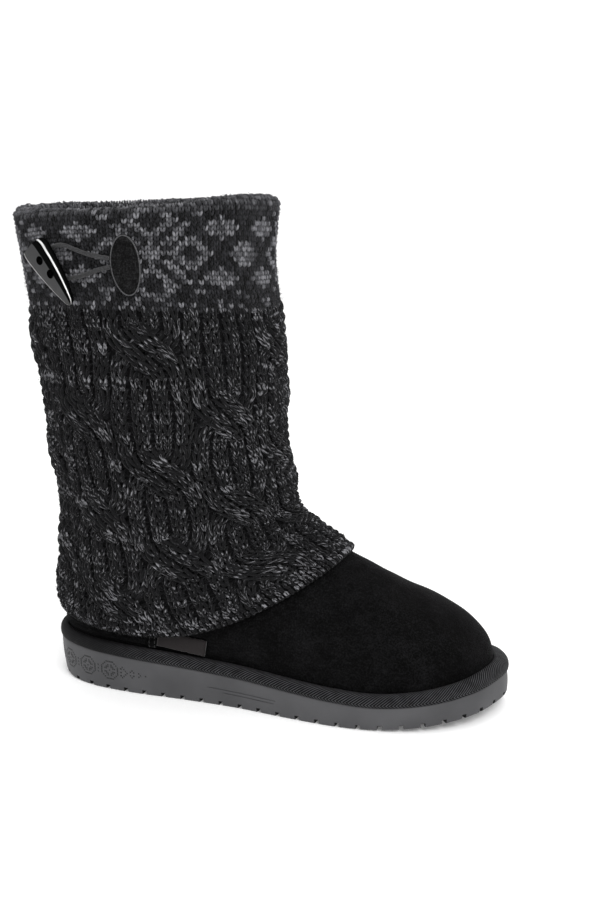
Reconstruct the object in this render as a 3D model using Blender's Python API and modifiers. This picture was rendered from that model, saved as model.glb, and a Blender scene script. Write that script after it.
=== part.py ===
"""Pull-on knit boot for a right foot: rubber unit sole, taped welt, suede boot, knitted sleeve, toggle.

Metres, +Z up. X runs from heel to toe and +Y is the medial side. Tables are in millimetres.
"""
import math
from collections import namedtuple

import bmesh
import bpy
import numpy as np
from mathutils import Matrix, Vector

MM = 0.001

# Driving sizes, in millimetres
SOLE_LENGTH = 275.0
SEAT_GAP = 0.3          # air between two pieces that touch
UPPER_WALL = 2.6        # suede with its lining
UPPER_SIDES = 36        # facets round the upper
SLEEVE_SIDES = 70       # facets round the knit
SOLE_SIDES = 72         # facets round the sole
SIDE_CROWDING = 0.15    # moves facets from toe and heel to the long sides
WELT_HEIGHT = 6.6
INSOLE_THICK = 5.0

# Sole outline, a row for each station. x is a share of the length, the rest in millimetres:
# half widths to the lateral and medial side, ledge that the welt takes, flare of the upper edge
SoleRow = namedtuple("SoleRow", "x lateral medial ledge flare")
SOLE_ROWS = (
    SoleRow(0.000, 0.0, 0.0, 2.4, 2.0),
    SoleRow(0.012, 13.0, 13.0, 2.6, 2.0),
    SoleRow(0.045, 23.5, 23.5, 3.0, 1.8),
    SoleRow(0.110, 32.0, 32.0, 4.0, 1.2),
    SoleRow(0.200, 36.0, 35.5, 5.0, 0.7),
    SoleRow(0.330, 37.5, 34.5, 5.5, 0.4),
    SoleRow(0.450, 40.0, 34.5, 5.6, 0.3),
    SoleRow(0.570, 45.5, 39.0, 5.6, 0.2),
    SoleRow(0.670, 49.0, 45.5, 5.8, 0.0),
    SoleRow(0.760, 49.0, 49.5, 6.2, 0.0),
    SoleRow(0.840, 44.5, 50.0, 7.0, -0.2),
    SoleRow(0.910, 35.0, 45.5, 7.8, -0.4),
    SoleRow(0.960, 22.0, 36.0, 8.4, -0.6),
    SoleRow(0.990, 5.0, 22.0, 8.7, -0.7),
    SoleRow(1.000, -8.0, 8.0, 8.8, -0.7),
)

# Height of the sole's upper face and of its underside along the length
SoleSide = namedtuple("SoleSide", "x top bottom")
SOLE_SIDE = (
    SoleSide(0.00, 25.2, 1.2),
    SoleSide(0.05, 24.4, 0.0),
    SoleSide(0.25, 21.6, 0.0),
    SoleSide(0.50, 17.9, 0.0),
    SoleSide(0.66, 15.0, 0.0),
    SoleSide(0.74, 14.2, 0.5),
    SoleSide(0.86, 16.2, 3.0),
    SoleSide(1.00, 22.0, 8.2),
)

# Closed sections of the upper above the welt. Each is a ring in its own tilted surface:
# x and z at its back and front, z at its sides, half widths, and 0 for a foot outline to 1 for an oval
Section = namedtuple("Section", "back_x back_z front_x front_z side_z lateral medial oval")
SECTIONS = (
    Section(0.6, 34.6, 262.4, 41.0, 31.5, 44.2, 44.2, 0.00),
    Section(0.8, 36.8, 253.5, 50.6, 35.0, 43.6, 43.6, 0.00),
    Section(1.0, 38.6, 240.0, 59.4, 37.5, 42.6, 42.4, 0.04),
    Section(1.2, 40.4, 208.0, 73.2, 40.0, 40.6, 40.0, 0.15),
    Section(1.4, 43.0, 181.0, 86.8, 42.5, 38.2, 37.4, 0.35),
    Section(0.6, 58.0, 165.0, 96.5, 56.5, 37.8, 37.2, 0.55),
    Section(3.6, 78.0, 152.5, 103.5, 76.0, 40.0, 39.6, 0.75),
    Section(5.8, 97.0, 145.2, 113.0, 97.0, 43.4, 43.0, 0.90),
    Section(5.2, 122.0, 142.3, 128.5, 121.0, 47.2, 47.0, 1.00),
    Section(1.8, 150.0, 137.6, 152.0, 149.0, 50.6, 50.6, 1.00),
    Section(-2.4, 186.0, 137.0, 188.0, 186.0, 52.4, 52.4, 1.00),
    Section(-7.2, 224.0, 134.8, 226.0, 225.0, 54.2, 54.2, 1.00),
    Section(-11.6, 253.0, 131.4, 257.0, 256.0, 55.2, 55.2, 1.00),
    Section(-15.4, 281.0, 133.4, 288.4, 281.8, 57.2, 57.2, 1.00),
)
HEM_SECTION = 6         # its place among all rings, where the knit hem lies on the suede
BORDER_SECTION = 13     # and where the band meets the cable knit

# Knitted sleeve
KNIT_GAP = 0.75         # air between the upper and the knit over it
CABLE_WALL = 4.0
BAND_WALL = 3.2
FOLD_WALL = 2.4         # knit turned over the collar
FOLD_DEPTH = 26.0
HEM_STAND_OFF = 3.0     # more air where the hem spans the hollow of the foot
CABLE_COUNT = 10
CABLE_HEIGHT = 2.4
CABLE_OFFSET = 7.0      # degrees from the lateral side to the cable beside the patch, towards the toe
CROSSINGS = ((212.0, 144.0, 90.0), (174.0, 117.0, 68.0))    # their heights in that cable and in the next
CROSSING_REACH = 12.0   # half of the height over which a crossing swells

# Things on the band, by degrees from the lateral side towards the toe, and by height
PATCH_PLACE = (8.6, 258.5)
PATCH_SIZE = (16.5, 34.0)
PATCH_THICK = 1.3
TOGGLE_PLACE = (-23.0, 253.0)
TOGGLE_TURN = -55.0     # degrees of its long axis below the level
TOGGLE_HOLES = (11.5, 21.0)
TOGGLE_BORE = 3.8
CORD = 2.4              # diameter of the elastic loop
LOOP_ROUTE = ((1.95, 262.4), (-3.0, 263.2), (-8.0, 264.6), (-13.5, 266.8), (-18.5, 268.6),
              (-23.0, 268.2), (-27.5, 265.2), (-31.0, 260.6), (-32.6, 256.2), (-31.0, 252.6),
              (-27.0, 250.8), (-22.0, 250.2), (-17.0, 250.6), (-11.5, 252.2), (-6.0, 254.6),
              (-2.0, 256.4), (1.95, 257.4))

# Horn toggle, a row for each section along it
HornRow = namedtuple("HornRow", "along width thick")
HORN_ROWS = (
    HornRow(0.0, 14.0, 6.0),
    HornRow(1.2, 15.0, 6.8),
    HornRow(9.0, 15.2, 7.0),
    HornRow(19.0, 12.8, 6.6),
    HornRow(28.0, 9.6, 5.6),
    HornRow(35.0, 6.2, 4.4),
    HornRow(39.0, 3.6, 3.0),
    HornRow(40.6, 1.4, 1.4),
)

SEAM_X = 70.0           # side seams of the suede, from the back of the heel
SEAM_WIDTH = 5.6
SEAM_THICK = 1.0
SEAM_LOW = 30.4         # heights of its ends: over the welt, and under the knit hem
SEAM_HIGH = 44.0
STRIP_GAP = 0.5         # air between a strip and the flat facets of the suede under it
TAB_LENGTH = 31.0
TAB_HEIGHT = 9.4
TAB_THICK = 1.2
TAB_HEIGHTS = (35.8, 33.2)      # of its middle line at the seam and at its free end
TAB_LIFT = 0.8          # how far its free end stands off the suede
TAB_START = 0.9         # air between tab and seam binding
TAB_GAP = 1.3           # it is flat across, so it clears the swell of the suede

# Sole: notches along its lower edge, cross grooves between the lugs, hollow and lines at the waist
EDGE_ROUND = 1.4
NOTCH_PITCH = 12.2
NOTCH_SIZE = (8.0, 2.2, 2.2)    # inward, along the edge, up
GROOVE_PLACES = (34.0, 52.0, 160.0, 178.0, 196.0, 214.0, 232.0)
GROOVE_BEND = 6.0       # how far the middle of a groove lies ahead of its ends
GROOVE_WIDE = 3.0
GROOVE_DEEP = 1.8
GROOVE_MARGIN = 11.0    # rubber left between a groove's end and the edge
ARCH_CENTRE = (112.0, -3.0)
ARCH_RADII = (34.0, 20.0)
ARCH_DEEP = 2.4
ARCH_BALL = 9.0         # depth of the hollowing ellipsoid's centre under the floor
SIDE_LINES = (((104.0, 12.4), (142.0, 10.0)), ((113.0, 9.2), (137.0, 7.8)))    # x and height of ends
LINE_WIDE = 0.9
LINE_DEEP = 0.6


def smooth(knots, values, at, period=None):
    """Value at each of `at` of a smooth curve through `values` at `knots`, closed if it has a period."""
    knots = np.asarray(knots, float)
    values = np.asarray(values, float)
    at = np.atleast_1d(np.asarray(at, float))
    if period:
        reach = 2
        knots = np.concatenate([knots[-reach:] - period, knots, knots[:reach] + period])
        values = np.concatenate([values[-reach:], values, values[:reach]])
        at = (at - knots[reach]) % period + knots[reach]
    step = np.diff(knots)
    shape = (-1,) + (1,) * (values.ndim - 1)
    slope = np.diff(values, axis=0) / step.reshape(shape)
    tangent = np.empty_like(values)
    before, after = step[:-1].reshape(shape), step[1:].reshape(shape)
    tangent[1:-1] = (slope[:-1] * after + slope[1:] * before) / (before + after)
    tangent[0], tangent[-1] = slope[0], slope[-1]
    place = np.clip(np.searchsorted(knots, at, side="right") - 1, 0, len(step) - 1)
    width = step[place].reshape(shape)
    u = ((at - knots[place]) / step[place]).reshape(shape)
    low, high = values[place], values[place + 1]
    in_slope, out_slope = tangent[place] * width, tangent[place + 1] * width
    return (low * (2 * u**3 - 3 * u**2 + 1) + in_slope * (u**3 - 2 * u**2 + u)
            + high * (3 * u**2 - 2 * u**3) + out_slope * (u**3 - u**2))


def turns(count):
    """Even angles round the boot, 0 at the toe, growing over the medial side."""
    return np.arange(count) * 2 * math.pi / count


def foot_turns(count):
    """Angles round the foot, closer together on its long sides."""
    even = turns(count)
    return even + SIDE_CROWDING * np.sin(2 * even)


def station(angles):
    """Share of the length at each angle of an outline."""
    return (1 + np.cos(angles)) / 2


def outline_column(name, angles):
    """A column of the sole table read round the outline, the lateral side negative for widths."""
    knots, values = [], []
    for row in SOLE_ROWS:
        angle = math.acos(2 * row.x - 1)
        if name == "width":
            sides = ((angle, row.medial), (-angle, -row.lateral))
        else:
            sides = ((angle, getattr(row, name)), (-angle, getattr(row, name)))
        if 0 < row.x < 1:
            knots += [side[0] for side in sides]
            values += [side[1] for side in sides]
        else:
            knots.append(angle)
            values.append(sides[0][1])
    order = np.argsort(knots)
    return smooth(np.array(knots)[order], np.array(values)[order], angles, period=2 * math.pi)


def outline(angles, inset=0.0):
    """Plan of the sole at its lower edge, moved inward by `inset` (a number or one for each angle)."""
    fine = 1e-3

    def plan(a):
        return np.column_stack([SOLE_LENGTH * station(a), outline_column("width", a)])

    along = plan(angles + fine) - plan(angles - fine)
    along /= np.linalg.norm(along, axis=1)[:, None]
    inward = np.column_stack([-along[:, 1], along[:, 0]])
    return plan(angles) + inward * np.broadcast_to(inset, (len(angles),))[:, None]


def side_height(name, x):
    """Height of the sole's top or bottom at the distance x from the heel, never under the floor."""
    return np.maximum(0.0, smooth([row.x for row in SOLE_SIDE], [getattr(row, name) for row in SOLE_SIDE],
                                  np.clip(x / SOLE_LENGTH, 0, 1)))


def ring(plan, height):
    """Points of a plan at a height, or at one height for each point."""
    return np.column_stack([plan, np.broadcast_to(height, (len(plan),))])


def foot_ring(angles, rise):
    """Ring of the upper inside the welt: its feather edge, raised."""
    plan = outline(angles, outline_column("ledge", angles))
    return ring(plan, side_height("top", plan[:, 0]) + SEAT_GAP + rise)


def section_ring(row, angles):
    """Ring of one section row."""
    foot = outline_column("width", angles)
    foot = np.where(foot > 0, foot / max(r.medial for r in SOLE_ROWS),
                    foot / max(r.lateral for r in SOLE_ROWS))
    across = foot * (1 - row.oval) + np.sin(angles) * row.oval
    y = across * np.where(across > 0, row.medial, row.lateral)
    x = row.back_x + (row.front_x - row.back_x) * station(angles)
    middle = (row.front_z + row.back_z) / 2
    cosine = np.cos(angles)
    z = row.side_z + (middle - row.side_z) * cosine**2 + (row.front_z - row.back_z) / 2 * cosine
    return np.column_stack([x, y, z])


def key_rings(angles):
    """All rings that the upper passes through, from the feather edge to the collar."""
    rings = [foot_ring(angles, 0.0), foot_ring(angles, WELT_HEIGHT + 0.4)]
    rings += [section_ring(row, angles) for row in SECTIONS]
    return np.array(rings)


def ring_places():
    """Distance of each key ring up the upper, averaged over front, back and sides."""
    rings = key_rings(turns(8))
    steps = np.linalg.norm(np.diff(rings, axis=0), axis=2).mean(axis=1)
    return np.concatenate([[0.0], np.cumsum(steps)])


PLACES = ring_places()
HEM_PLACE = PLACES[HEM_SECTION]
BORDER_PLACE = PLACES[BORDER_SECTION]
COLLAR_PLACE = PLACES[-1]


def upper_surface(angles, places, lift=0.0):
    """Outer face of the upper, an array of places by angles, lifted along its own normal."""
    angles, places = np.asarray(angles, float), np.asarray(places, float)

    def point(a, p):
        return smooth(PLACES, key_rings(a), p)

    base = point(angles, places)
    fine = 1e-3
    round_way = point(angles + fine, places) - point(angles - fine, places)
    inside = np.clip(places, fine, COLLAR_PLACE - fine)
    up_way = point(angles, inside + fine) - point(angles, inside - fine)
    normal = np.cross(round_way, up_way)
    normal /= np.linalg.norm(normal, axis=2)[:, :, None]
    return base + normal * np.broadcast_to(lift, base.shape[:2])[:, :, None]


def place_at_height(angle, height):
    """Place up the upper where its face reaches a height at one angle."""
    places = np.linspace(HEM_PLACE, COLLAR_PLACE, 40)
    heights = upper_surface([angle], places)[:, 0, 2]
    return float(np.interp(height, heights, places))


def knit_gap(angles, places):
    """Air between upper and knit: it grows where the hem spans the foot's hollow sides."""
    low = np.clip((PLACES[HEM_SECTION + 3] - places) / (PLACES[HEM_SECTION + 3] - HEM_PLACE), 0, 1)
    return KNIT_GAP + HEM_STAND_OFF * np.outer(low**1.5, np.sin(angles) ** 2)


def knit_wall(angles, places):
    """Thickness of the knit: thin band, thicker cable section with its raised cables, ribbed hem."""
    heights = upper_surface(angles, places)[:, :, 2]
    turn = np.degrees(angles)[None, :] + 90 - CABLE_OFFSET
    spacing = 360 / CABLE_COUNT
    number = np.round(turn / spacing)
    across = (turn - number * spacing) / spacing
    swell = np.zeros_like(heights)
    for lag, crossings in enumerate(CROSSINGS):
        for crossing in crossings:
            near = np.exp(-(((heights - crossing) / CROSSING_REACH) ** 2))
            swell = np.where(number % 2 == lag, np.maximum(swell, near), swell)
    wave = 2 * swell - 1
    narrow = 0.30 + 0.05 * (1 - wave)
    body = np.clip(1 - (np.abs(across) / narrow) ** 4, 0, 1)
    groove = 0.45 * (1 - wave) / 2 * np.exp(-((across / 0.07) ** 2))
    cable = CABLE_HEIGHT * body * (0.72 + 0.28 * wave - groove)
    below = np.clip((BORDER_PLACE - places) / 9.0, 0, 1)[:, None]
    over_hem = np.clip((places - HEM_PLACE - 5.0) / 12.0, 0, 1)[:, None]
    return BAND_WALL + (CABLE_WALL - BAND_WALL + cable * over_hem) * below


def new_material(name, colour, roughness, metallic=0.0):
    """Principled finish of one piece."""
    material = bpy.data.materials.new(name)
    material.use_nodes = True
    shader = material.node_tree.nodes["Principled BSDF"]
    shader.inputs["Base Color"].default_value = (*colour, 1.0)
    shader.inputs["Roughness"].default_value = roughness
    shader.inputs["Metallic"].default_value = metallic
    return material


def new_object(name, mesh, collection, material=None):
    """Object of a mesh or curve, put in a collection."""
    thing = bpy.data.objects.new(name, mesh)
    collection.objects.link(thing)
    if material:
        mesh.materials.append(material)
    return thing


def round_shading(mesh, degrees=40.0):
    """Smooth shading with sharp edges kept."""
    mesh.shade_smooth()
    mesh.set_sharp_from_angle(angle=math.radians(degrees))


def loft(name, rings, closed_over=False, caps=False):
    """Mesh through rings of equal count, faces out when each next ring is higher or further out."""
    count = len(rings[0])
    points = np.concatenate(rings) * MM
    faces = []
    pairs = len(rings) if closed_over else len(rings) - 1
    for level in range(pairs):
        low = level * count
        high = (level + 1) % len(rings) * count
        for i in range(count):
            j = (i + 1) % count
            faces.append((low + i, low + j, high + j, high + i))
    if caps:
        faces += [tuple(reversed(face)) for face in cap_faces(0, count)]
        faces += cap_faces((len(rings) - 1) * count, count)
    mesh = bpy.data.meshes.new(name)
    mesh.from_pydata([tuple(point) for point in points], [], faces)
    mesh.validate()
    round_shading(mesh)
    return mesh


def cap_faces(first, count):
    """Strips across a ring that is even about the long axis, so a curved end stays smooth."""
    half = count // 2
    faces = [(first, first + 1, first + count - 1)]
    for i in range(1, half - 1):
        faces.append((first + i, first + i + 1, first + count - i - 1, first + count - i))
    faces.append((first + half - 1, first + half, first + half + 1))
    return faces


def box_mesh(mesh, size, frame):
    """Add a box of a size, in millimetres, in a frame."""
    scale = Matrix.Diagonal((*[side * MM for side in size], 1.0))
    bmesh.ops.create_cube(mesh, size=1.0, matrix=frame @ scale)


def frame_at(point, x_way, z_way):
    """Frame with its origin at a point in millimetres, its x along x_way and its z near z_way."""
    x_axis = Vector(x_way).normalized()
    y_axis = Vector(z_way).cross(x_axis).normalized()
    z_axis = x_axis.cross(y_axis)
    frame = Matrix((x_axis, y_axis, z_axis)).transposed().to_4x4()
    frame.translation = Vector(point) * MM
    return frame


def face_outward(mesh):
    """Turn the faces of a closed mesh outward."""
    work = bmesh.new()
    work.from_mesh(mesh)
    bmesh.ops.recalc_face_normals(work, faces=work.faces)
    if work.calc_volume(signed=True) < 0:
        bmesh.ops.reverse_faces(work, faces=work.faces)
    work.to_mesh(mesh)
    work.free()


def cut(target, cutter):
    """Take one object out of another with an exact Boolean."""
    modifier = target.modifiers.new("cut " + cutter.name, "BOOLEAN")
    modifier.operation = "DIFFERENCE"
    modifier.solver = "EXACT"
    modifier.object = cutter


def make_cutter(name, mesh, collection):
    """Object that only cuts."""
    cutter = new_object(name, mesh, collection)
    cutter.hide_render = True
    cutter.display_type = "WIRE"
    return cutter


def notch_cutter():
    """Slots through the lower edge, one for each step along it."""
    fine = np.linspace(0, 2 * math.pi, 1441)
    edge = outline(fine)
    length = np.concatenate([[0.0], np.cumsum(np.linalg.norm(np.diff(edge, axis=0), axis=1))])
    count = int(length[-1] / NOTCH_PITCH)
    mesh = bmesh.new()
    deep, wide, high = NOTCH_SIZE
    for number in range(count):
        angle = np.interp((number + 0.5) * length[-1] / count, length, fine)
        near, inner = outline(np.array([angle])), outline(np.array([angle]), 1.0)
        point = outline(np.array([angle]), deep / 2 - 2.0)[0]
        floor = side_height("bottom", near[0, 0])[0]
        box_mesh(mesh, (deep, wide, 2 * high), frame_at((*point, floor), (*(inner - near)[0], 0), (0, 0, 1)))
    result = bpy.data.meshes.new("notches")
    mesh.to_mesh(result)
    mesh.free()
    return result


def groove_cutter():
    """Bowed cross grooves that part the main lugs of heel and forefoot."""
    mesh = bpy.data.meshes.new("grooves")
    points, faces = [], []
    for x in GROOVE_PLACES:
        angle = math.acos(2 * x / SOLE_LENGTH - 1)
        left = float(outline_column("width", [angle])[0]) - GROOVE_MARGIN
        right = float(outline_column("width", [-angle])[0]) + GROOVE_MARGIN
        rings = []
        for share in np.linspace(0, 1, 5):
            y = right + (left - right) * share
            middle = x + GROOVE_BEND * (1 - (2 * share - 1) ** 2)
            floor = side_height("bottom", middle)[0]
            rings.append([(middle - GROOVE_WIDE / 2, y, floor - 3.0),
                          (middle + GROOVE_WIDE / 2, y, floor - 3.0),
                          (middle + GROOVE_WIDE / 2, y, floor + GROOVE_DEEP),
                          (middle - GROOVE_WIDE / 2, y, floor + GROOVE_DEEP)])
        start = len(points)
        for level, corners in enumerate(rings):
            points += [tuple(np.array(corner) * MM) for corner in corners]
            if level:
                base = start + 4 * level
                for i in range(4):
                    j = (i + 1) % 4
                    faces.append((base - 4 + i, base + i, base + j, base - 4 + j))
        last = start + 4 * (len(rings) - 1)
        faces.append((start, start + 1, start + 2, start + 3))
        faces.append((last + 3, last + 2, last + 1, last))
    mesh.from_pydata(points, [], faces)
    face_outward(mesh)
    return mesh


def arch_cutter():
    """Ellipsoid that hollows the waist of the underside."""
    mesh = bmesh.new()
    high = ARCH_BALL + ARCH_DEEP
    spread = 1 / math.sqrt(1 - (ARCH_BALL / high) ** 2)
    radii = (ARCH_RADII[0] * spread * MM, ARCH_RADII[1] * spread * MM, high * MM)
    place = Matrix.Translation((ARCH_CENTRE[0] * MM, ARCH_CENTRE[1] * MM, -ARCH_BALL * MM))
    bmesh.ops.create_uvsphere(mesh, u_segments=18, v_segments=10, radius=1.0,
                              matrix=place @ Matrix.Diagonal((*radii, 1.0)))
    result = bpy.data.meshes.new("arch hollow")
    mesh.to_mesh(result)
    mesh.free()
    return result


def line_cutter():
    """Shallow lines that converge towards the ball on each side of the sole."""
    work = bmesh.new()
    for start, end in SIDE_LINES:
        for side in (-1, 1):
            spine, ways = [], []
            for share in np.linspace(0, 1, 5):
                x = start[0] + (end[0] - start[0]) * share
                height = start[1] + (end[1] - start[1]) * share
                angle = np.array([side * math.acos(2 * x / SOLE_LENGTH - 1)])
                point = sole_face(angle, height)
                inward = sole_face(angle, height, 1.0) - point
                spine.append(point)
                ways.append((np.array([0.0, 0.0, 1.0]), -inward))
            strip = strip_mesh("line", spine, ways, LINE_WIDE / 2, -LINE_DEEP, 2.0)
            work.from_mesh(strip)
            bpy.data.meshes.remove(strip)
    result = bpy.data.meshes.new("side lines")
    work.to_mesh(result)
    work.free()
    return result


def sole_rings(angles):
    """Rings of the sole: rounded lower edge, leaning side, edge of the seat."""
    flare = outline_column("flare", angles)
    low_plan = outline(angles, EDGE_ROUND)
    floor = side_height("bottom", outline(angles)[:, 0])
    top = side_height("top", outline(angles, -flare)[:, 0])
    return [
        ring(low_plan, side_height("bottom", low_plan[:, 0])),
        ring(outline(angles, 0.3 * EDGE_ROUND), floor + 0.4 * EDGE_ROUND),
        ring(outline(angles, -0.1 * flare), floor + 1.6 * EDGE_ROUND),
        ring(outline(angles, -0.5 * flare - 0.4), (floor + top) / 2),
        ring(outline(angles, -flare), top - 0.7),
        ring(outline(angles, 0.7 - flare), top),
    ]


def sole_face(angle, height, inset=0.0):
    """Point of the sole's side at one angle and a height, moved inward by `inset`."""
    rings = np.array(sole_rings(angle))[:, 0]
    lift = np.interp(height, rings[:, 2], np.arange(len(rings)))
    low = int(lift)
    point = rings[low] + (rings[low + 1] - rings[low]) * (lift - low)
    shift = outline(angle, inset)[0] - outline(angle)[0]
    return point + (*shift, 0.0)


def make_outsole(parts, cutters, material):
    """Unit sole with its arch hollow, lugs, notched edge and side lines."""
    rings = sole_rings(foot_turns(SOLE_SIDES))
    sole = new_object("outsole", loft("outsole", rings, caps=True), parts, material)
    for name, mesh in (("arch hollow", arch_cutter()), ("grooves", groove_cutter()),
                       ("notches", notch_cutter()), ("side lines", line_cutter())):
        cut(sole, make_cutter(name, mesh, cutters))
    return sole


def make_welt(parts, material):
    """Rounded rand on the sole's edge, up to the suede."""
    angles = foot_turns(SOLE_SIDES)
    flare = outline_column("flare", angles)
    ledge = outline_column("ledge", angles)
    inner = ledge - SEAT_GAP - 0.1
    outer = -flare - 0.6
    base = side_height("top", outline(angles)[:, 0]) + SEAT_GAP
    rings = []
    # Share of the way in from the outer edge, and share of the height
    for share, rise in ((1.0, 0.0), (0.0, 0.0), (-0.06, 0.28), (0.0, 0.62), (0.3, 0.93),
                        (0.62, 1.0), (1.0, 0.92)):
        rings.append(ring(outline(angles, outer + (inner - outer) * share), base + WELT_HEIGHT * rise))
    mesh = loft("welt", rings, closed_over=True)
    return new_object("welt", mesh, parts, material)


def make_insole(parts, material):
    """Fleece footbed that fills the upper from wall to wall."""
    angles = foot_turns(UPPER_SIDES)
    inset = outline_column("ledge", angles) + UPPER_WALL + 2 * SEAT_GAP
    plan = outline(angles, inset)
    low = side_height("top", plan[:, 0]) + SEAT_GAP
    rings = [ring(plan, low), ring(plan, low + INSOLE_THICK - 1.0),
             ring(outline(angles, inset + 1.2), low + INSOLE_THICK)]
    return new_object("insole", loft("insole", rings, caps=True), parts, material)


def make_upper(parts, material):
    """Suede boot and inner shaft: one open surface with its wall made inward."""
    rings = upper_surface(foot_turns(UPPER_SIDES), PLACES)
    upper = new_object("upper", loft("upper", list(rings)), parts, material)
    wall = upper.modifiers.new("wall", "SOLIDIFY")
    wall.thickness = UPPER_WALL * MM
    wall.offset = -1.0
    wall.use_even_offset = True
    return upper


def make_sleeve(parts, material):
    """Knitted tube: outer face with its cables, rim over the collar, fold inside, and inner face."""
    angles = turns(SLEEVE_SIDES)
    outer_places = np.concatenate([[HEM_PLACE, HEM_PLACE + 4.0],
                                   np.linspace(HEM_PLACE + 13.0, BORDER_PLACE - 9.0, 11),
                                   [BORDER_PLACE - 2.0, BORDER_PLACE + 1.0,
                                    (BORDER_PLACE + COLLAR_PLACE) / 2, COLLAR_PLACE - 2.0]])
    gap = knit_gap(angles, outer_places)
    wall = knit_wall(angles, outer_places)
    edge = np.ones(len(outer_places))
    edge[0] = 0.55
    rings = list(upper_surface(angles, outer_places, gap + wall * edge[:, None]))
    # The rim is a half round over the collar, from the outer face to the cavity
    out_lift = KNIT_GAP + BAND_WALL
    in_lift = -(UPPER_WALL + KNIT_GAP + FOLD_WALL)
    middle, radius = (out_lift + in_lift) / 2, (out_lift - in_lift) / 2
    collar = [COLLAR_PLACE]
    for degrees in (30, 90, 145):
        lift = middle + radius * math.cos(math.radians(degrees))
        rise = radius * math.sin(math.radians(degrees)) * 0.95
        rings.append(upper_surface(angles, collar, lift)[0] + (0, 0, rise))
    low = [COLLAR_PLACE - FOLD_DEPTH]
    rings.append(upper_surface(angles, low, in_lift)[0])
    rings.append(upper_surface(angles, low, in_lift + FOLD_WALL)[0])
    rings.append(upper_surface(angles, collar, in_lift + FOLD_WALL)[0] + (0, 0, KNIT_GAP))
    rings.append(upper_surface(angles, collar, KNIT_GAP)[0] + (0, 0, KNIT_GAP))
    inner_places = PLACES[HEM_SECTION:-1][::-1]
    inner = upper_surface(angles, inner_places, knit_gap(angles, inner_places))
    rings += list(inner)
    return new_object("knit_sleeve", loft("knit_sleeve", rings, closed_over=True), parts, material)


def suede_point(x, place, side, facets):
    """Point on the facets of the upper at a distance from the heel, on one side (-1 is lateral)."""
    k = int(np.clip(np.searchsorted(PLACES, place, side="right") - 1, 0, len(PLACES) - 2))
    share = (place - PLACES[k]) / (PLACES[k + 1] - PLACES[k])
    row = facets[k] * (1 - share) + facets[k + 1] * share
    half = row[side * np.sin(foot_turns(UPPER_SIDES)) > -1e-6]
    half = half[np.argsort(half[:, 0])]
    return np.array([x, np.interp(x, half[:, 0], half[:, 1]), np.interp(x, half[:, 0], half[:, 2])])


def suede_frame(x, place, side, facets):
    """That point with its unit ways towards the toe, up and out."""
    fine = 0.5
    toe_way = suede_point(x + fine, place, side, facets) - suede_point(x - fine, place, side, facets)
    up = suede_point(x, place + fine, side, facets) - suede_point(x, place - fine, side, facets)
    out = -side * np.cross(toe_way, up)
    toe_way, up, out = (way / np.linalg.norm(way) for way in (toe_way, up, out))
    return suede_point(x, place, side, facets), toe_way, up, out


def suede_place(x, height, side, facets):
    """Place up the suede where it reaches a height at a distance from the heel."""
    places = np.linspace(PLACES[1], PLACES[HEM_SECTION + 1], 60)
    heights = [suede_point(x, place, side, facets)[2] for place in places]
    return float(np.interp(height, heights, places))


def strip_mesh(name, spine, ways, half_width, low, high):
    """Slab along a spine: points, unit ways across it and normals, between two lifts."""
    rings = []
    for point, (across, normal) in zip(spine, ways):
        rings.append(np.array([point - across * half_width + normal * low,
                               point + across * half_width + normal * low,
                               point + across * half_width + normal * high,
                               point - across * half_width + normal * high]))
    count = len(rings)
    points = np.concatenate(rings) * MM
    faces = []
    for level in range(count - 1):
        base = 4 * level
        for i in range(4):
            j = (i + 1) % 4
            faces.append((base + i, base + j, base + 4 + j, base + 4 + i))
    last = 4 * (count - 1)
    faces += [(3, 2, 1, 0), (last, last + 1, last + 2, last + 3)]
    mesh = bpy.data.meshes.new(name)
    mesh.from_pydata([tuple(point) for point in points], [], faces)
    face_outward(mesh)
    return mesh


def surface_frame(angle, place):
    """Point of the upper's face with its unit ways round, up and out."""
    fine = 1e-3
    point = upper_surface([angle], [place])[0, 0]
    out = upper_surface([angle], [place], 1.0)[0, 0] - point
    up = upper_surface([angle], [place + fine])[0, 0] - upper_surface([angle], [place - fine])[0, 0]
    up -= out * np.dot(up, out)
    up /= np.linalg.norm(up)
    return point, np.cross(up, out), up, out


def make_seam(name, side, parts, material):
    """Raised binding over a side seam of the suede, from over the welt to under the knit hem."""
    facets = upper_surface(foot_turns(UPPER_SIDES), PLACES)
    low, high = (suede_place(SEAM_X, height, side, facets) for height in (SEAM_LOW, SEAM_HIGH))
    levels = [low] + [place for place in PLACES if low + 0.5 < place < high - 0.5] + [high]
    spine, ways = [], []
    for place in levels:
        point, toe_way, up, out = suede_frame(SEAM_X, place, side, facets)
        spine.append(point)
        ways.append((toe_way, out))
    mesh = strip_mesh(name, spine, ways, SEAM_WIDTH / 2, STRIP_GAP, STRIP_GAP + SEAM_THICK)
    return new_object(name, mesh, parts, material)


def make_tab(parts, material):
    """Blank folded tab that comes out of the lateral seam and lies along the suede."""
    facets = upper_surface(foot_turns(UPPER_SIDES), PLACES)
    spine, ways = [], []
    for share in np.linspace(0, 1, 6):
        x = SEAM_X + SEAM_WIDTH / 2 + TAB_START + TAB_LENGTH * share
        height = TAB_HEIGHTS[0] + (TAB_HEIGHTS[1] - TAB_HEIGHTS[0]) * share
        place = suede_place(x, height, -1, facets)
        point, toe_way, up, out = suede_frame(x, place, -1, facets)
        spine.append(point + out * TAB_LIFT * share**2)
        ways.append((up, out))
    mesh = strip_mesh("side_tab", spine, ways, TAB_HEIGHT / 2, TAB_GAP, TAB_GAP + TAB_THICK)
    return new_object("side_tab", mesh, parts, material)


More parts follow.
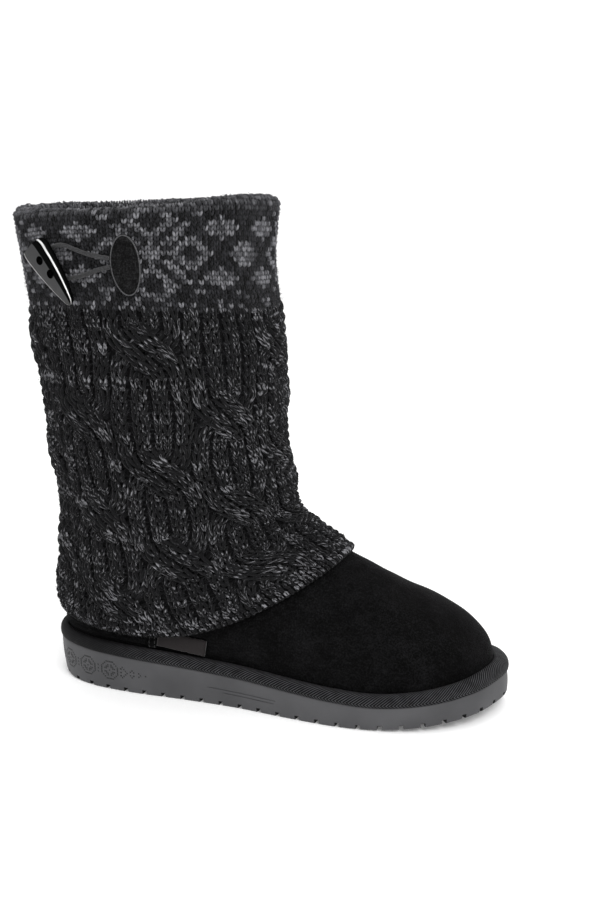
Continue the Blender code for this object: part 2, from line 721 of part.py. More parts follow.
def band_point(turn, height, lift):
    """Point over the knitted band, by degrees from the lateral side towards the toe."""
    angle = math.radians(turn - 90)
    place = place_at_height(angle, height)
    wall = KNIT_GAP + float(knit_wall(np.array([angle]), np.array([place]))[0, 0])
    return upper_surface([angle], [place], wall + lift)[0, 0]


def band_frame(turn, height):
    """Point on the band with unit ways towards the toe, up and out."""
    angle = math.radians(turn - 90)
    point, round_way, up, out = surface_frame(angle, place_at_height(angle, height))
    return band_point(turn, height, 0.0), round_way, up, out


def make_patch(parts, material):
    """Oval suede patch laid round the band."""
    count = 20
    centre_turn, centre_height = PATCH_PLACE
    point = band_point(centre_turn, centre_height, 0.0)
    per_degree = np.linalg.norm(band_point(centre_turn + 1, centre_height, 0.0) - point)
    rings = []
    low, high = SEAT_GAP + 0.1, SEAT_GAP + 0.1 + PATCH_THICK
    for scale, lift in ((0.05, low), (0.55, low), (1.0, low), (1.0, high - 0.3), (0.93, high),
                        (0.5, high), (0.05, high)):
        points = []
        for angle in turns(count):
            turn = centre_turn + scale * PATCH_SIZE[0] / 2 * math.sin(angle) / per_degree
            height = centre_height + scale * PATCH_SIZE[1] / 2 * math.cos(angle)
            points.append(band_point(turn, height, lift))
        rings.append(np.array(points))
    mesh = loft("toggle_patch", rings, caps=True)
    face_outward(mesh)
    return new_object("toggle_patch", mesh, parts, material)


def make_loop(parts, material):
    """Elastic cord: a loop from the patch round the neck of the toggle, on a smooth route."""
    route = np.array(LOOP_ROUTE)
    fine = np.linspace(0, len(route) - 1, 30)
    turns_heights = smooth(np.arange(len(route)), route, fine)
    lift = SEAT_GAP + 0.1 + CORD / 2
    points = [band_point(turn, height, lift) for turn, height in turns_heights]
    curve = bpy.data.curves.new("toggle_loop", "CURVE")
    curve.dimensions = "3D"
    curve.bevel_depth = CORD / 2 * MM
    curve.bevel_resolution = 2
    curve.use_fill_caps = True
    spline = curve.splines.new("POLY")
    spline.points.add(len(points) - 1)
    for target, point in zip(spline.points, points):
        target.co = (*(point * MM), 1.0)
    return new_object("toggle_loop", curve, parts, material)


def horn_section(row):
    """Cross-section of the horn: flat outer face and round belly."""
    half, deep = row.width / 2, row.thick
    points = [(-0.74 * half, 0.0), (-0.93 * half, -0.10 * deep), (-half, -0.34 * deep),
              (-0.84 * half, -0.66 * deep), (-0.48 * half, -0.92 * deep), (0.0, -deep)]
    right = [(-x, z) for x, z in points[:-1]]
    return points + right[::-1]


def make_toggle(parts, cutters, material):
    """Horn toggle with two holes, over the loop and the band."""
    rings = []
    for row in HORN_ROWS:
        rings.append(np.array([(row.along, y, z) for y, z in horn_section(row)]))
    mesh = bpy.data.meshes.new("toggle")
    count = len(rings[0])
    faces = []
    for level in range(len(rings) - 1):
        for i in range(count):
            j = (i + 1) % count
            low, high = level * count, (level + 1) * count
            faces.append((low + i, low + j, high + j, high + i))
    faces.append(tuple(reversed(range(count))))
    faces.append(tuple(range((len(rings) - 1) * count, len(rings) * count)))
    mesh.from_pydata([tuple(point) for point in np.concatenate(rings) * MM], [], faces)
    round_shading(mesh, 35.0)
    toggle = new_object("toggle", mesh, parts, material)
    point, toe_way, up, out = band_frame(*TOGGLE_PLACE)
    turn = math.radians(TOGGLE_TURN)
    along = Vector(toe_way) * math.cos(turn) + Vector(up) * math.sin(turn)
    stand = SEAT_GAP + CORD + HORN_ROWS[2].thick
    middle = HORN_ROWS[-1].along / 2
    start = Vector(point) + Vector(out) * stand - along * middle
    toggle.matrix_world = frame_at(start, along, out)
    bores = bmesh.new()
    for place in TOGGLE_HOLES:
        bmesh.ops.create_cone(bores, cap_ends=True, segments=16, radius1=TOGGLE_BORE / 2 * MM,
                              radius2=TOGGLE_BORE / 2 * MM, depth=20 * MM,
                              matrix=Matrix.Translation((place * MM, 0.0, 0.0)))
    result = bpy.data.meshes.new("toggle bores")
    bores.to_mesh(result)
    bores.free()
    cutter = make_cutter("toggle bores", result, cutters)
    cutter.matrix_world = toggle.matrix_world.copy()
    cut(toggle, cutter)
    return toggle


def world_box(things):
    """Lowest and highest corner of evaluated objects."""
    graph = bpy.context.evaluated_depsgraph_get()
    corners = []
    for thing in things:
        shown = thing.evaluated_get(graph)
        mesh = shown.to_mesh()
        corners += [shown.matrix_world @ vertex.co for vertex in mesh.vertices]
        shown.to_mesh_clear()
    values = np.array(corners)
    return values.min(axis=0), values.max(axis=0)


def main():
    """Build the boot and put its origin under the middle of its box."""
    for thing in list(bpy.data.objects):
        bpy.data.objects.remove(thing, do_unlink=True)
    parts = bpy.data.collections.new("knit_boot")
    cutters = bpy.data.collections.new("knit_boot_cutters")
    for collection in (parts, cutters):
        bpy.context.scene.collection.children.link(collection)

    rubber = new_material("sole_rubber", (0.105, 0.105, 0.107), 0.62)
    tape = new_material("welt_tape", (0.024, 0.024, 0.026), 0.8)
    suede = new_material("black_suede", (0.008, 0.008, 0.009), 0.95)
    knit = new_material("charcoal_knit", (0.03, 0.03, 0.032), 0.95)
    fleece = new_material("grey_fleece", (0.16, 0.155, 0.15), 0.95)
    woven = new_material("plain_tab", (0.022, 0.014, 0.014), 0.75)
    elastic = new_material("elastic_cord", (0.04, 0.04, 0.042), 0.7)
    horn = new_material("black_horn", (0.006, 0.006, 0.006), 0.18)

    pieces = [
        make_outsole(parts, cutters, rubber),
        make_welt(parts, tape),
        make_insole(parts, fleece),
        make_upper(parts, suede),
        make_sleeve(parts, knit),
        make_seam("seam_binding_lateral", -1, parts, suede),
        make_seam("seam_binding_medial", 1, parts, suede),
        make_tab(parts, woven),
        make_patch(parts, suede),
        make_loop(parts, elastic),
        make_toggle(parts, cutters, horn),
    ]
    bpy.context.view_layer.update()
    low, high = world_box(pieces)
    holder = bpy.data.objects.new("knit_boot_origin", None)
    parts.objects.link(holder)
    for thing in pieces + list(cutters.objects):
        thing.parent = holder
    holder.location = (-(low[0] + high[0]) / 2, -(low[1] + high[1]) / 2, -low[2])


main()
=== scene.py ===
"""Looks of a pull-on knit boot for a right foot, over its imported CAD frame.

Sizes are in millimetres unless a name ends in _m. X runs from heel to toe and +Y is the medial side.
"""
import logging
import math
from dataclasses import dataclass, field
from enum import Enum
from typing import Callable, NamedTuple, Sequence

import bmesh
import bpy
import numpy as np
from mathutils import Matrix, Vector

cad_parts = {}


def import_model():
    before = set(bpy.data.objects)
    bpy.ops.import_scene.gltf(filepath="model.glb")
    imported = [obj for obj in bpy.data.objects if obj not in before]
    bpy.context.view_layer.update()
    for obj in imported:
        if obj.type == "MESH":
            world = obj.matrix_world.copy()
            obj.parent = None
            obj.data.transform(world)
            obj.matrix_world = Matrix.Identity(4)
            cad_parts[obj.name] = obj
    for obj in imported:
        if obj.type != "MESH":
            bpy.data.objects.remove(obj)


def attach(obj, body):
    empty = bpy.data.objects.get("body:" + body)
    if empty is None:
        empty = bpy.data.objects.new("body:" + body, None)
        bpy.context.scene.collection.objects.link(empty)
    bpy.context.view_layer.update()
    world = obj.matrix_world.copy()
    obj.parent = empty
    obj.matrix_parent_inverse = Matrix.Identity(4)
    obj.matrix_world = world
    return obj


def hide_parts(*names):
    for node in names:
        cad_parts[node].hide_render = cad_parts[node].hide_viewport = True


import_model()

log = logging.getLogger("knit_boot")
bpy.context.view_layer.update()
MM = 0.001
ORIGIN = np.array([-128.17779, 2.89646, 0.0])   # from the maker's heel corner to the frame's origin
RADIUS = 66.0           # mean radius of the shaft, turns an angle into millimetres round it


# Small tools

def linear(code: str) -> tuple[float, float, float, float]:
    """Turn an sRGB hex colour into linear red, green, blue and alpha."""
    values = [int(code[i:i + 2], 16) / 255 for i in (1, 3, 5)]
    return (*(v / 12.92 if v <= 0.04045 else ((v + 0.055) / 1.055) ** 2.4 for v in values), 1.0)


def smooth(knots: Sequence[float], values: Sequence[float], at: np.ndarray,
           period: float | None = None) -> np.ndarray:
    """Read a smooth curve through values at knots.

    Args:
        knots: Growing places of the values.
        values: Numbers or rows of numbers.
        at: Places to read.
        period: Length of one turn if the curve is closed.

    Returns:
        A value or row for each place.
    """
    knots = np.asarray(knots, float)
    values = np.asarray(values, float)
    at = np.atleast_1d(np.asarray(at, float))
    if period:
        knots = np.concatenate([knots[-2:] - period, knots, knots[:2] + period])
        values = np.concatenate([values[-2:], values, values[:2]])
        at = (at - knots[2]) % period + knots[2]
    step = np.diff(knots)
    shape = (-1,) + (1,) * (values.ndim - 1)
    slope = np.diff(values, axis=0) / step.reshape(shape)
    tangent = np.empty_like(values)
    before, after = step[:-1].reshape(shape), step[1:].reshape(shape)
    tangent[1:-1] = (slope[:-1] * after + slope[1:] * before) / (before + after)
    tangent[0], tangent[-1] = slope[0], slope[-1]
    place = np.clip(np.searchsorted(knots, at, side="right") - 1, 0, len(step) - 1)
    width = step[place].reshape(shape)
    u = ((at - knots[place]) / step[place]).reshape(shape)
    return (values[place] * (2 * u**3 - 3 * u**2 + 1) + tangent[place] * width * (u**3 - 2 * u**2 + u)
            + values[place + 1] * (3 * u**2 - 2 * u**3) + tangent[place + 1] * width * (u**3 - u**2))


def ramp(value: np.ndarray, low: float, high: float) -> np.ndarray:
    """Rise smoothly from 0 at low to 1 at high."""
    share = np.clip((np.asarray(value, float) - low) / (high - low), 0, 1)
    return share * share * (3 - 2 * share)


def turns(count: int) -> np.ndarray:
    """Give even angles round the boot, 0 at the toe, growing over the medial side."""
    return np.arange(count) * 2 * math.pi / count


def world(points: np.ndarray) -> np.ndarray:
    """Move millimetre points of the maker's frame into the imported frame, in metres."""
    return (np.asarray(points, float) + ORIGIN) * MM


def unit(vectors: np.ndarray) -> np.ndarray:
    """Scale vectors to length one."""
    return vectors / np.maximum(np.linalg.norm(vectors, axis=-1, keepdims=True), 1e-12)


def quad_mesh(name: str, points: np.ndarray, quads: np.ndarray, uv: np.ndarray | None = None,
              shade: np.ndarray | None = None, slots: np.ndarray | None = None) -> bpy.types.Mesh:
    """Make a smooth mesh of quads from arrays.

    Args:
        name: Name of the mesh.
        points: Corner places in metres.
        quads: Four corner numbers a face.
        uv: Two numbers a corner, in millimetres.
        shade: Three numbers a corner, read by the material as a colour.
        slots: Material slot of each face.

    Returns:
        The mesh.
    """
    mesh = bpy.data.meshes.new(name)
    mesh.vertices.add(len(points))
    mesh.vertices.foreach_set("co", np.ascontiguousarray(points, np.float32).ravel())
    corners = np.ascontiguousarray(quads, np.int32).ravel()
    mesh.loops.add(len(corners))
    mesh.loops.foreach_set("vertex_index", corners)
    mesh.polygons.add(len(quads))
    mesh.polygons.foreach_set("loop_start", np.arange(0, len(corners), 4, dtype=np.int32))
    mesh.polygons.foreach_set("loop_total", np.full(len(quads), 4, dtype=np.int32))
    if slots is not None:
        mesh.polygons.foreach_set("material_index", np.ascontiguousarray(slots, np.int32))
    if uv is not None:
        layer = mesh.uv_layers.new(name="length")
        layer.data.foreach_set("uv", np.ascontiguousarray(uv[corners], np.float32).ravel())
    if shade is not None:
        colour = mesh.color_attributes.new("yarn", "FLOAT_COLOR", "POINT")
        rows = np.column_stack([shade, np.ones(len(shade))])
        colour.data.foreach_set("color", np.ascontiguousarray(rows, np.float32).ravel())
    mesh.update(calc_edges=True)
    mesh.shade_smooth()
    return mesh


def grid_quads(count: int, rows: int, columns: int, closed: bool = False) -> np.ndarray:
    """Number the faces of equal grids of corners, row by row.

    Args:
        count: How many grids follow one another.
        rows: Rows of corners in one.
        columns: Corners in a row.
        closed: Whether a row closes on itself.

    Returns:
        Four corner numbers a face.
    """
    row = np.arange(rows - 1)[:, None]
    column = np.arange(columns if closed else columns - 1)[None, :]
    after = (column + 1) % columns
    one = np.stack([row * columns + column, row * columns + after,
                    (row + 1) * columns + after, (row + 1) * columns + column], axis=-1)
    one = one.reshape(-1, 4)
    start = np.arange(count)[:, None, None] * rows * columns
    return (one[None] + start).reshape(-1, 4)


def add_object(name: str, data: bpy.types.ID, materials: Sequence[bpy.types.Material],
               slot: str | None = None) -> bpy.types.Object:
    """Link a mesh or curve as a piece that rides on the boot.

    Args:
        name: Name of the piece.
        data: Its mesh or curve.
        materials: Materials in slot order.
        slot: Material slot of the record; not used.

    Returns:
        The new object.
    """
    thing = bpy.data.objects.new(name, data)
    bpy.context.scene.collection.objects.link(thing)
    for material in materials:
        data.materials.append(material)
    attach(thing, "root")
    return thing


def loft(name: str, rings: Sequence[np.ndarray], closed_over: bool = False, caps: bool = False,
         sharp: float = 180.0) -> bpy.types.Mesh:
    """Make a mesh through rings of equal count, in millimetres.

    Args:
        name: Name of the mesh.
        rings: Points of each ring.
        closed_over: Whether the last ring joins the first.
        caps: Whether both ends are filled.
        sharp: Angle in degrees over which an edge stays sharp.

    Returns:
        The mesh, with a UV of millimetres round and along.
    """
    count = len(rings[0])
    points = world(np.concatenate(rings))
    faces = []
    for level in range(len(rings) if closed_over else len(rings) - 1):
        low, high = level * count, (level + 1) % len(rings) * count
        for i in range(count):
            j = (i + 1) % count
            faces.append((low + i, low + j, high + j, high + i))
    if caps:
        faces.append(tuple(reversed(range(count))))
        faces.append(tuple(range((len(rings) - 1) * count, len(rings) * count)))
    mesh = bpy.data.meshes.new(name)
    mesh.from_pydata([tuple(point) for point in points], [], faces)
    mesh.shade_smooth()
    if sharp < 180:
        mesh.set_sharp_from_angle(angle=math.radians(sharp))
    return mesh


def cut(target: bpy.types.Object, cutter_mesh: bpy.types.Mesh, place: Matrix | None = None) -> None:
    """Take a mesh out of an object for good, with an exact Boolean."""
    cutter = bpy.data.objects.new("cutter", cutter_mesh)
    bpy.context.scene.collection.objects.link(cutter)
    if place is not None:
        cutter.matrix_world = place
    modifier = target.modifiers.new("cut", "BOOLEAN")
    modifier.operation = "DIFFERENCE"
    modifier.solver = "EXACT"
    modifier.material_mode = "TRANSFER"
    modifier.object = cutter
    bpy.context.view_layer.update()
    graph = bpy.context.evaluated_depsgraph_get()
    result = bpy.data.meshes.new_from_object(target.evaluated_get(graph))
    target.modifiers.clear()
    old = target.data
    target.data = result
    bpy.data.meshes.remove(old)
    bpy.data.objects.remove(cutter, do_unlink=True)


# Finishes

def add_node(tree: bpy.types.NodeTree, kind: str, links: dict | None = None,
             **settings: object) -> bpy.types.Node:
    """Add a node to a tree.

    Args:
        tree: Node tree of a material or world.
        kind: Node type without its ShaderNode part.
        links: Input by name or number, and the socket or constant it takes.
        **settings: Properties of the node itself.

    Returns:
        The new node.
    """
    node = tree.nodes.new("ShaderNode" + kind)
    for name, value in settings.items():
        setattr(node, name, value)
    for key, value in (links or {}).items():
        if isinstance(value, bpy.types.NodeSocket):
            tree.links.new(value, node.inputs[key])
        else:
            node.inputs[key].default_value = value
    return node


class Graph:
    """Material with short calls for the nodes that its finish is made of."""

    def __init__(self, name: str) -> None:
        """Start a material with only a principled shader."""
        self.material = bpy.data.materials.new(name)
        self.material.use_nodes = True
        self.tree = self.material.node_tree
        self.shader = self.tree.nodes["Principled BSDF"]

    def add(self, kind: str, links: dict | None = None, out: int | str = 0,
            **settings: object) -> bpy.types.NodeSocket:
        """Add a node and give one of its outputs."""
        return add_node(self.tree, kind, links, **settings).outputs[out]

    def math(self, operation: str, *values: object) -> bpy.types.NodeSocket:
        """Combine numbers or sockets with a maths operation."""
        return self.add("Math", dict(enumerate(values)), operation=operation)

    def noise(self, vector: bpy.types.NodeSocket, scale: float, detail: float = 2.0,
              roughness: float = 0.5) -> bpy.types.NodeSocket:
        """Give a noise value about 0.5 over a vector."""
        return self.add("TexNoise", {"Vector": vector, "Scale": scale, "Detail": detail,
                                     "Roughness": roughness})

    def span(self, value: bpy.types.NodeSocket, low: float, high: float, start: float = 0.0,
             end: float = 1.0) -> bpy.types.NodeSocket:
        """Map a value smoothly from one span to another."""
        return self.add("MapRange", {"Value": value, "From Min": low, "From Max": high,
                                     "To Min": start, "To Max": end}, interpolation_type="SMOOTHSTEP")

    def blend(self, share: bpy.types.NodeSocket, first: object, second: object) -> bpy.types.NodeSocket:
        """Mix two colours by a share."""
        return self.add("Mix", {0: share, 6: first, 7: second}, out=2, data_type="RGBA")

    def bump(self, height: bpy.types.NodeSocket, distance: float, strength: float = 1.0,
             under: bpy.types.NodeSocket | None = None) -> bpy.types.NodeSocket:
        """Turn a height into a normal, over another one if it's given."""
        links = {"Height": height, "Distance": distance * MM, "Strength": strength}
        if under:
            links["Normal"] = under
        return self.add("Bump", links)

    def place(self, scale: tuple[float, float, float] = (1.0, 1.0, 1.0)) -> bpy.types.NodeSocket:
        """Give the place on the boot in millimetres, stretched if wanted."""
        at = self.add("TexCoord", out="Object")
        return self.add("VectorMath", {0: at, 1: tuple(1000 * s for s in scale)}, operation="MULTIPLY")

    def finish(self, links: dict[str, object]) -> bpy.types.Material:
        """Set or link the shader's own inputs and give the material."""
        for key, value in links.items():
            if isinstance(value, bpy.types.NodeSocket):
                self.tree.links.new(value, self.shader.inputs[key])
            else:
                self.shader.inputs[key].default_value = value
        return self.material


@dataclass(frozen=True)
class MarlYarn:
    """Two-ply acrylic and wool yarn: a black ply and a grey one that shows as short streaks."""

    name: str = "charcoal_marl_yarn"
    dark: str = "#070708"
    middle: str = "#151517"
    light: str = "#8c8c90"
    lay: float = 4.2        # length of one twist

    def build(self) -> bpy.types.Material:
        """Make the material."""
        g = Graph(self.name)
        uv = g.add("UVMap", uv_map="length")
        part = g.add("SeparateXYZ", {0: uv}).node
        along, across = part.outputs[0], part.outputs[1]
        tone = g.add("SeparateColor", {0: g.add("VertexColor", layer_name="yarn")}).node
        # Twisted plies cross the strand aslant
        twist = g.math("ADD", g.math("DIVIDE", along, self.lay), g.math("MULTIPLY", across, 0.45))
        ply = g.math("SINE", g.math("MULTIPLY", twist, 2 * math.pi))
        streak = g.noise(g.add("VectorMath", {0: uv, 1: (0.26, 0.8, 1.0)}, operation="MULTIPLY"), 1.7, 2.0, 0.6)
        fibre = g.noise(g.add("VectorMath", {0: uv, 1: (0.8, 5.0, 1.0)}, operation="MULTIPLY"), 2.4, 2.0, 0.6)
        spot = g.noise(g.place(), 0.16, 2.0)
        drive = g.math("ADD", g.math("MULTIPLY", streak, 1.3), g.math("MULTIPLY", ply, 0.10))
        drive = g.math("ADD", drive, g.math("MULTIPLY", g.math("SUBTRACT", tone.outputs[0], 0.5), 0.5))
        drive = g.math("ADD", drive, g.math("MULTIPLY", g.math("SUBTRACT", spot, 0.5), 0.12))
        share = g.math("MULTIPLY", g.span(drive, 0.72, 1.04), g.span(fibre, 0.30, 0.55, 0.45, 1.0))
        base = g.blend(g.span(fibre, 0.35, 0.7), linear(self.dark), linear(self.middle))
        colour = g.blend(share, base, linear(self.light))
        # The yarn colour's third channel is painted shade: tucked ends and deep purl bars turn near black
        colour = g.blend(tone.outputs[2], colour, linear("#060607"))
        bump = g.bump(g.math("ADD", g.math("MULTIPLY", ply, 0.5), fibre), 0.35, 0.7)
        g.shader.inputs["Sheen Weight"].default_value = 0.06
        g.shader.inputs["Sheen Roughness"].default_value = 0.45
        g.shader.inputs["Specular IOR Level"].default_value = 0.15
        return g.finish({"Base Color": colour, "Roughness": 0.92, "Normal": bump})


@dataclass(frozen=True)
class BandYarn:
    """Two plain yarns worked in one band: charcoal ground and heathered grey ornament."""

    name: str = "charcoal_and_grey_band_yarn"
    ground: str = "#0c0c0d"
    motif: str = "#808084"
    ground_light: str = "#303033"
    motif_dark: str = "#39393c"

    def build(self) -> bpy.types.Material:
        """Make the material."""
        g = Graph(self.name)
        uv = g.add("UVMap", uv_map="length")
        tone = g.add("SeparateColor", {0: g.add("VertexColor", layer_name="yarn")}).node
        fibre = g.noise(g.add("VectorMath", {0: uv, 1: (0.9, 2.6, 1.0)}, operation="MULTIPLY"), 1.6, 3.0, 0.6)
        heather = g.math("ADD", fibre, g.math("MULTIPLY", g.math("SUBTRACT", tone.outputs[0], 0.5), 0.45))
        share = g.span(heather, 0.30, 0.72)
        ground = g.blend(share, linear(self.ground), linear(self.ground_light))
        motif = g.blend(share, linear(self.motif_dark), linear(self.motif))
        colour = g.blend(tone.outputs[1], ground, motif)
        # The yarn colour's third channel is painted shade on the tucked ends
        colour = g.blend(tone.outputs[2], colour, linear("#070708"))
        bump = g.bump(fibre, 0.3, 0.6)
        g.shader.inputs["Sheen Weight"].default_value = 0.14
        g.shader.inputs["Sheen Roughness"].default_value = 0.35
        g.shader.inputs["Specular IOR Level"].default_value = 0.15
        return g.finish({"Base Color": colour, "Roughness": 0.92, "Normal": bump})


@dataclass(frozen=True)
class KnitGround:
    """Shade between the stitches: the same yarn in the dark of the fabric."""

    name: str = "yarn_between_stitches"
    colour: str = "#070708"
    lit: str = "#101011"

    def build(self) -> bpy.types.Material:
        """Make the material."""
        g = Graph(self.name)
        fibre = g.noise(g.place(), 1.4, 3.0)
        colour = g.blend(g.span(fibre, 0.4, 0.75), linear(self.colour), linear(self.lit))
        g.shader.inputs["Specular IOR Level"].default_value = 0.1
        return g.finish({"Base Color": colour, "Roughness": 0.95, "Normal": g.bump(fibre, 0.5)})


@dataclass(frozen=True)
class BrushedSuede:
    """Brushed suede: matt nap with cloudy patches where it lies another way."""

    name: str = "black_brushed_suede"
    dark: str = "#020202"
    light: str = "#171718"

    def build(self) -> bpy.types.Material:
        """Make the material."""
        g = Graph(self.name)
        place = g.place()
        cloud = g.noise(place, 0.045, 3.0, 0.55)
        brush = g.noise(g.place((0.35, 1.0, 1.0)), 0.35, 3.0, 0.6)
        nap = g.noise(place, 1.1, 5.0, 0.75)
        mix = g.math("ADD", g.math("MULTIPLY", cloud, 0.22), g.math("MULTIPLY", brush, 0.15))
        mix = g.math("ADD", mix, g.math("MULTIPLY", nap, 0.75))
        colour = g.blend(g.span(mix, 0.48, 0.74), linear(self.dark), linear(self.light))
        grain = g.bump(nap, 0.4, 0.8)
        bump = g.bump(brush, 0.4, 0.5, under=grain)
        g.shader.inputs["Sheen Weight"].default_value = 0.14
        g.shader.inputs["Sheen Roughness"].default_value = 0.3
        g.shader.inputs["Sheen Tint"].default_value = linear("#6c6c6e")
        g.shader.inputs["Specular IOR Level"].default_value = 0.06
        return g.finish({"Base Color": colour, "Roughness": 0.95, "Normal": bump})


@dataclass(frozen=True)
class CurlyFleece:
    """Curled pile of the lining and footbed: soft tufts a few millimetres wide."""

    name: str = "grey_curly_fleece"
    dark: str = "#4a4644"
    light: str = "#8d8682"

    def build(self) -> bpy.types.Material:
        """Make the material."""
        g = Graph(self.name)
        place = g.place()
        curl = g.add("TexVoronoi", {"Vector": place, "Scale": 0.30, "Randomness": 1.0})
        tuft = g.noise(place, 0.6, 4.0, 0.65)
        height = g.math("SUBTRACT", tuft, g.math("MULTIPLY", curl, 0.6))
        # Colour darkens with the pile's height: painted shade in the hollows between tufts
        colour = g.blend(g.span(height, -0.1, 0.6), linear(self.dark), linear(self.light))
        g.shader.inputs["Sheen Weight"].default_value = 0.4
        g.shader.inputs["Specular IOR Level"].default_value = 0.15
        return g.finish({"Base Color": colour, "Roughness": 0.97, "Normal": g.bump(height, 1.6, 0.9)})


@dataclass(frozen=True)
class HerringboneTape:
    """Woven herringbone tape over the rand: fine dark ribs that lean and turn near the sole."""

    name: str = "black_herringbone_tape"
    dark: str = "#020203"
    light: str = "#464649"
    pitch: float = 1.95     # from rib to rib
    turn: float = 1.6       # distance up the tape where the ribs turn
    slant: float = 1.25
    heel_fade: tuple[float, float] = (-95.0, -45.0)    # towards the heel the ribs flatten and their painted light fades

    def build(self) -> bpy.types.Material:
        """Make the material."""
        g = Graph(self.name)
        part = g.add("SeparateXYZ", {0: g.add("UVMap", uv_map="length")}).node
        along, across = part.outputs[0], part.outputs[1]
        fold = g.math("MULTIPLY", g.math("ABSOLUTE", g.math("SUBTRACT", across, self.turn)), self.slant)
        phase = g.math("DIVIDE", g.math("SUBTRACT", along, fold), self.pitch)
        rib = g.math("SINE", g.math("MULTIPLY", phase, 2 * math.pi))
        thread = g.math("SINE", g.math("MULTIPLY", g.math("SUBTRACT", along, fold), 2 * math.pi / 0.9))
        wear = g.noise(g.place(), 0.25, 3.0)
        # Colour follows the ribs: painted light on their crowns and painted shade between them
        drive = g.math("ADD", g.math("MULTIPLY", rib, 0.8), g.math("MULTIPLY", thread, 0.05))
        drive = g.math("ADD", drive, g.math("MULTIPLY", g.math("SUBTRACT", wear, 0.5), 0.9))
        from_heel = g.add("SeparateXYZ", {0: g.place()})
        crisp = g.span(from_heel, *self.heel_fade, 0.12, 1.0)
        share = g.math("MULTIPLY", g.span(drive, 0.2, 0.85), crisp)
        colour = g.blend(share, linear(self.dark), linear(self.light))
        bump = g.bump(g.math("MULTIPLY", g.math("ADD", rib, g.math("MULTIPLY", thread, 0.1)), crisp), 0.28, 0.8)
        g.shader.inputs["Specular IOR Level"].default_value = 0.15
        return g.finish({"Base Color": colour, "Roughness": 0.72, "Normal": bump})


@dataclass(frozen=True)
class MouldedRubber:
    """Moulded rubber of the unit sole: matt grey with a faint satin skin and a pebbled grain."""

    name: str = "grey_moulded_rubber"
    dark: str = "#38383a"
    light: str = "#464648"
    grain: float = 0.06

    def build(self) -> bpy.types.Material:
        """Make the material."""
        g = Graph(self.name)
        place = g.place()
        cloud = g.noise(place, 0.03, 3.0)
        fine = g.noise(place, 2.4, 3.0, 0.6)
        mix = g.math("ADD", cloud, g.math("MULTIPLY", fine, 0.15))
        colour = g.blend(g.span(mix, 0.35, 0.8), linear(self.dark), linear(self.light))
        g.shader.inputs["Specular IOR Level"].default_value = 0.4
        return g.finish({"Base Color": colour, "Roughness": g.span(fine, 0.2, 0.8, 0.52, 0.66),
                         "Normal": g.bump(fine, self.grain, 0.7)})


@dataclass(frozen=True)
class PolishedHorn:
    """Polished black horn: clear gloss over faint streaks along its length."""

    name: str = "black_polished_horn"
    dark: str = "#020202"
    light: str = "#0c0b0a"
    roughness: float = 0.14
    coat: float = 0.5
    specular: float = 0.3

    def build(self) -> bpy.types.Material:
        """Make the material."""
        g = Graph(self.name)
        streak = g.noise(g.place((0.2, 1.0, 0.2)), 0.5, 4.0, 0.6)
        colour = g.blend(g.span(streak, 0.45, 0.8), linear(self.dark), linear(self.light))
        g.shader.inputs["IOR"].default_value = 1.54
        g.shader.inputs["Coat Weight"].default_value = self.coat
        g.shader.inputs["Specular IOR Level"].default_value = self.specular
        g.shader.inputs["Coat Roughness"].default_value = 0.05
        return g.finish({"Base Color": colour, "Roughness": g.span(streak, 0.3, 0.8, self.roughness, self.roughness + 0.12),
                         "Normal": g.bump(streak, 0.05, 0.3)})


@dataclass(frozen=True)
class WovenCloth:
    """Plain woven tape or thread: fine crossing threads over an even colour."""

    name: str
    dark: str
    light: str
    pitch: float = 0.7
    roughness: float = 0.8

    def build(self) -> bpy.types.Material:
        """Make the material."""
        g = Graph(self.name)
        part = g.add("SeparateXYZ", {0: g.place()}).node
        waves = [g.math("SINE", g.math("MULTIPLY", part.outputs[i], 2 * math.pi / self.pitch)) for i in (0, 2)]
        weave = g.math("MULTIPLY", *waves)
        fuzz = g.noise(g.place(), 1.2, 3.0)
        mix = g.math("ADD", g.math("MULTIPLY", weave, 0.25), fuzz)
        colour = g.blend(g.span(mix, 0.3, 0.85), linear(self.dark), linear(self.light))
        g.shader.inputs["Sheen Weight"].default_value = 0.15
        g.shader.inputs["Specular IOR Level"].default_value = 0.3
        return g.finish({"Base Color": colour, "Roughness": self.roughness, "Normal": g.bump(mix, 0.12, 0.6)})


@dataclass(frozen=True)
class SweepPaper:
    """Matt white paper that the boot stands on."""

    name: str = "white_sweep_paper"
    colour: str = "#f4f4f4"

    def build(self) -> bpy.types.Material:
        """Make the material."""
        g = Graph(self.name)
        fine = g.noise(g.place(), 0.4, 2.0)
        colour = g.blend(g.span(fine, 0.2, 0.8), linear(self.colour), linear("#fafafa"))
        return g.finish({"Base Color": colour, "Roughness": 0.9, "Emission Color": colour,
                         "Emission Strength": 0.12})


# Forms: the boot's own sizes, repeated from the part

class SoleRow(NamedTuple):
    """Half widths, ledge and flare of the sole at a share of its length."""

    x: float
    lateral: float
    medial: float
    ledge: float
    flare: float


class Section(NamedTuple):
    """Closed ring of the upper in its own tilted surface."""

    back_x: float
    back_z: float
    front_x: float
    front_z: float
    side_z: float
    lateral: float
    medial: float
    oval: float


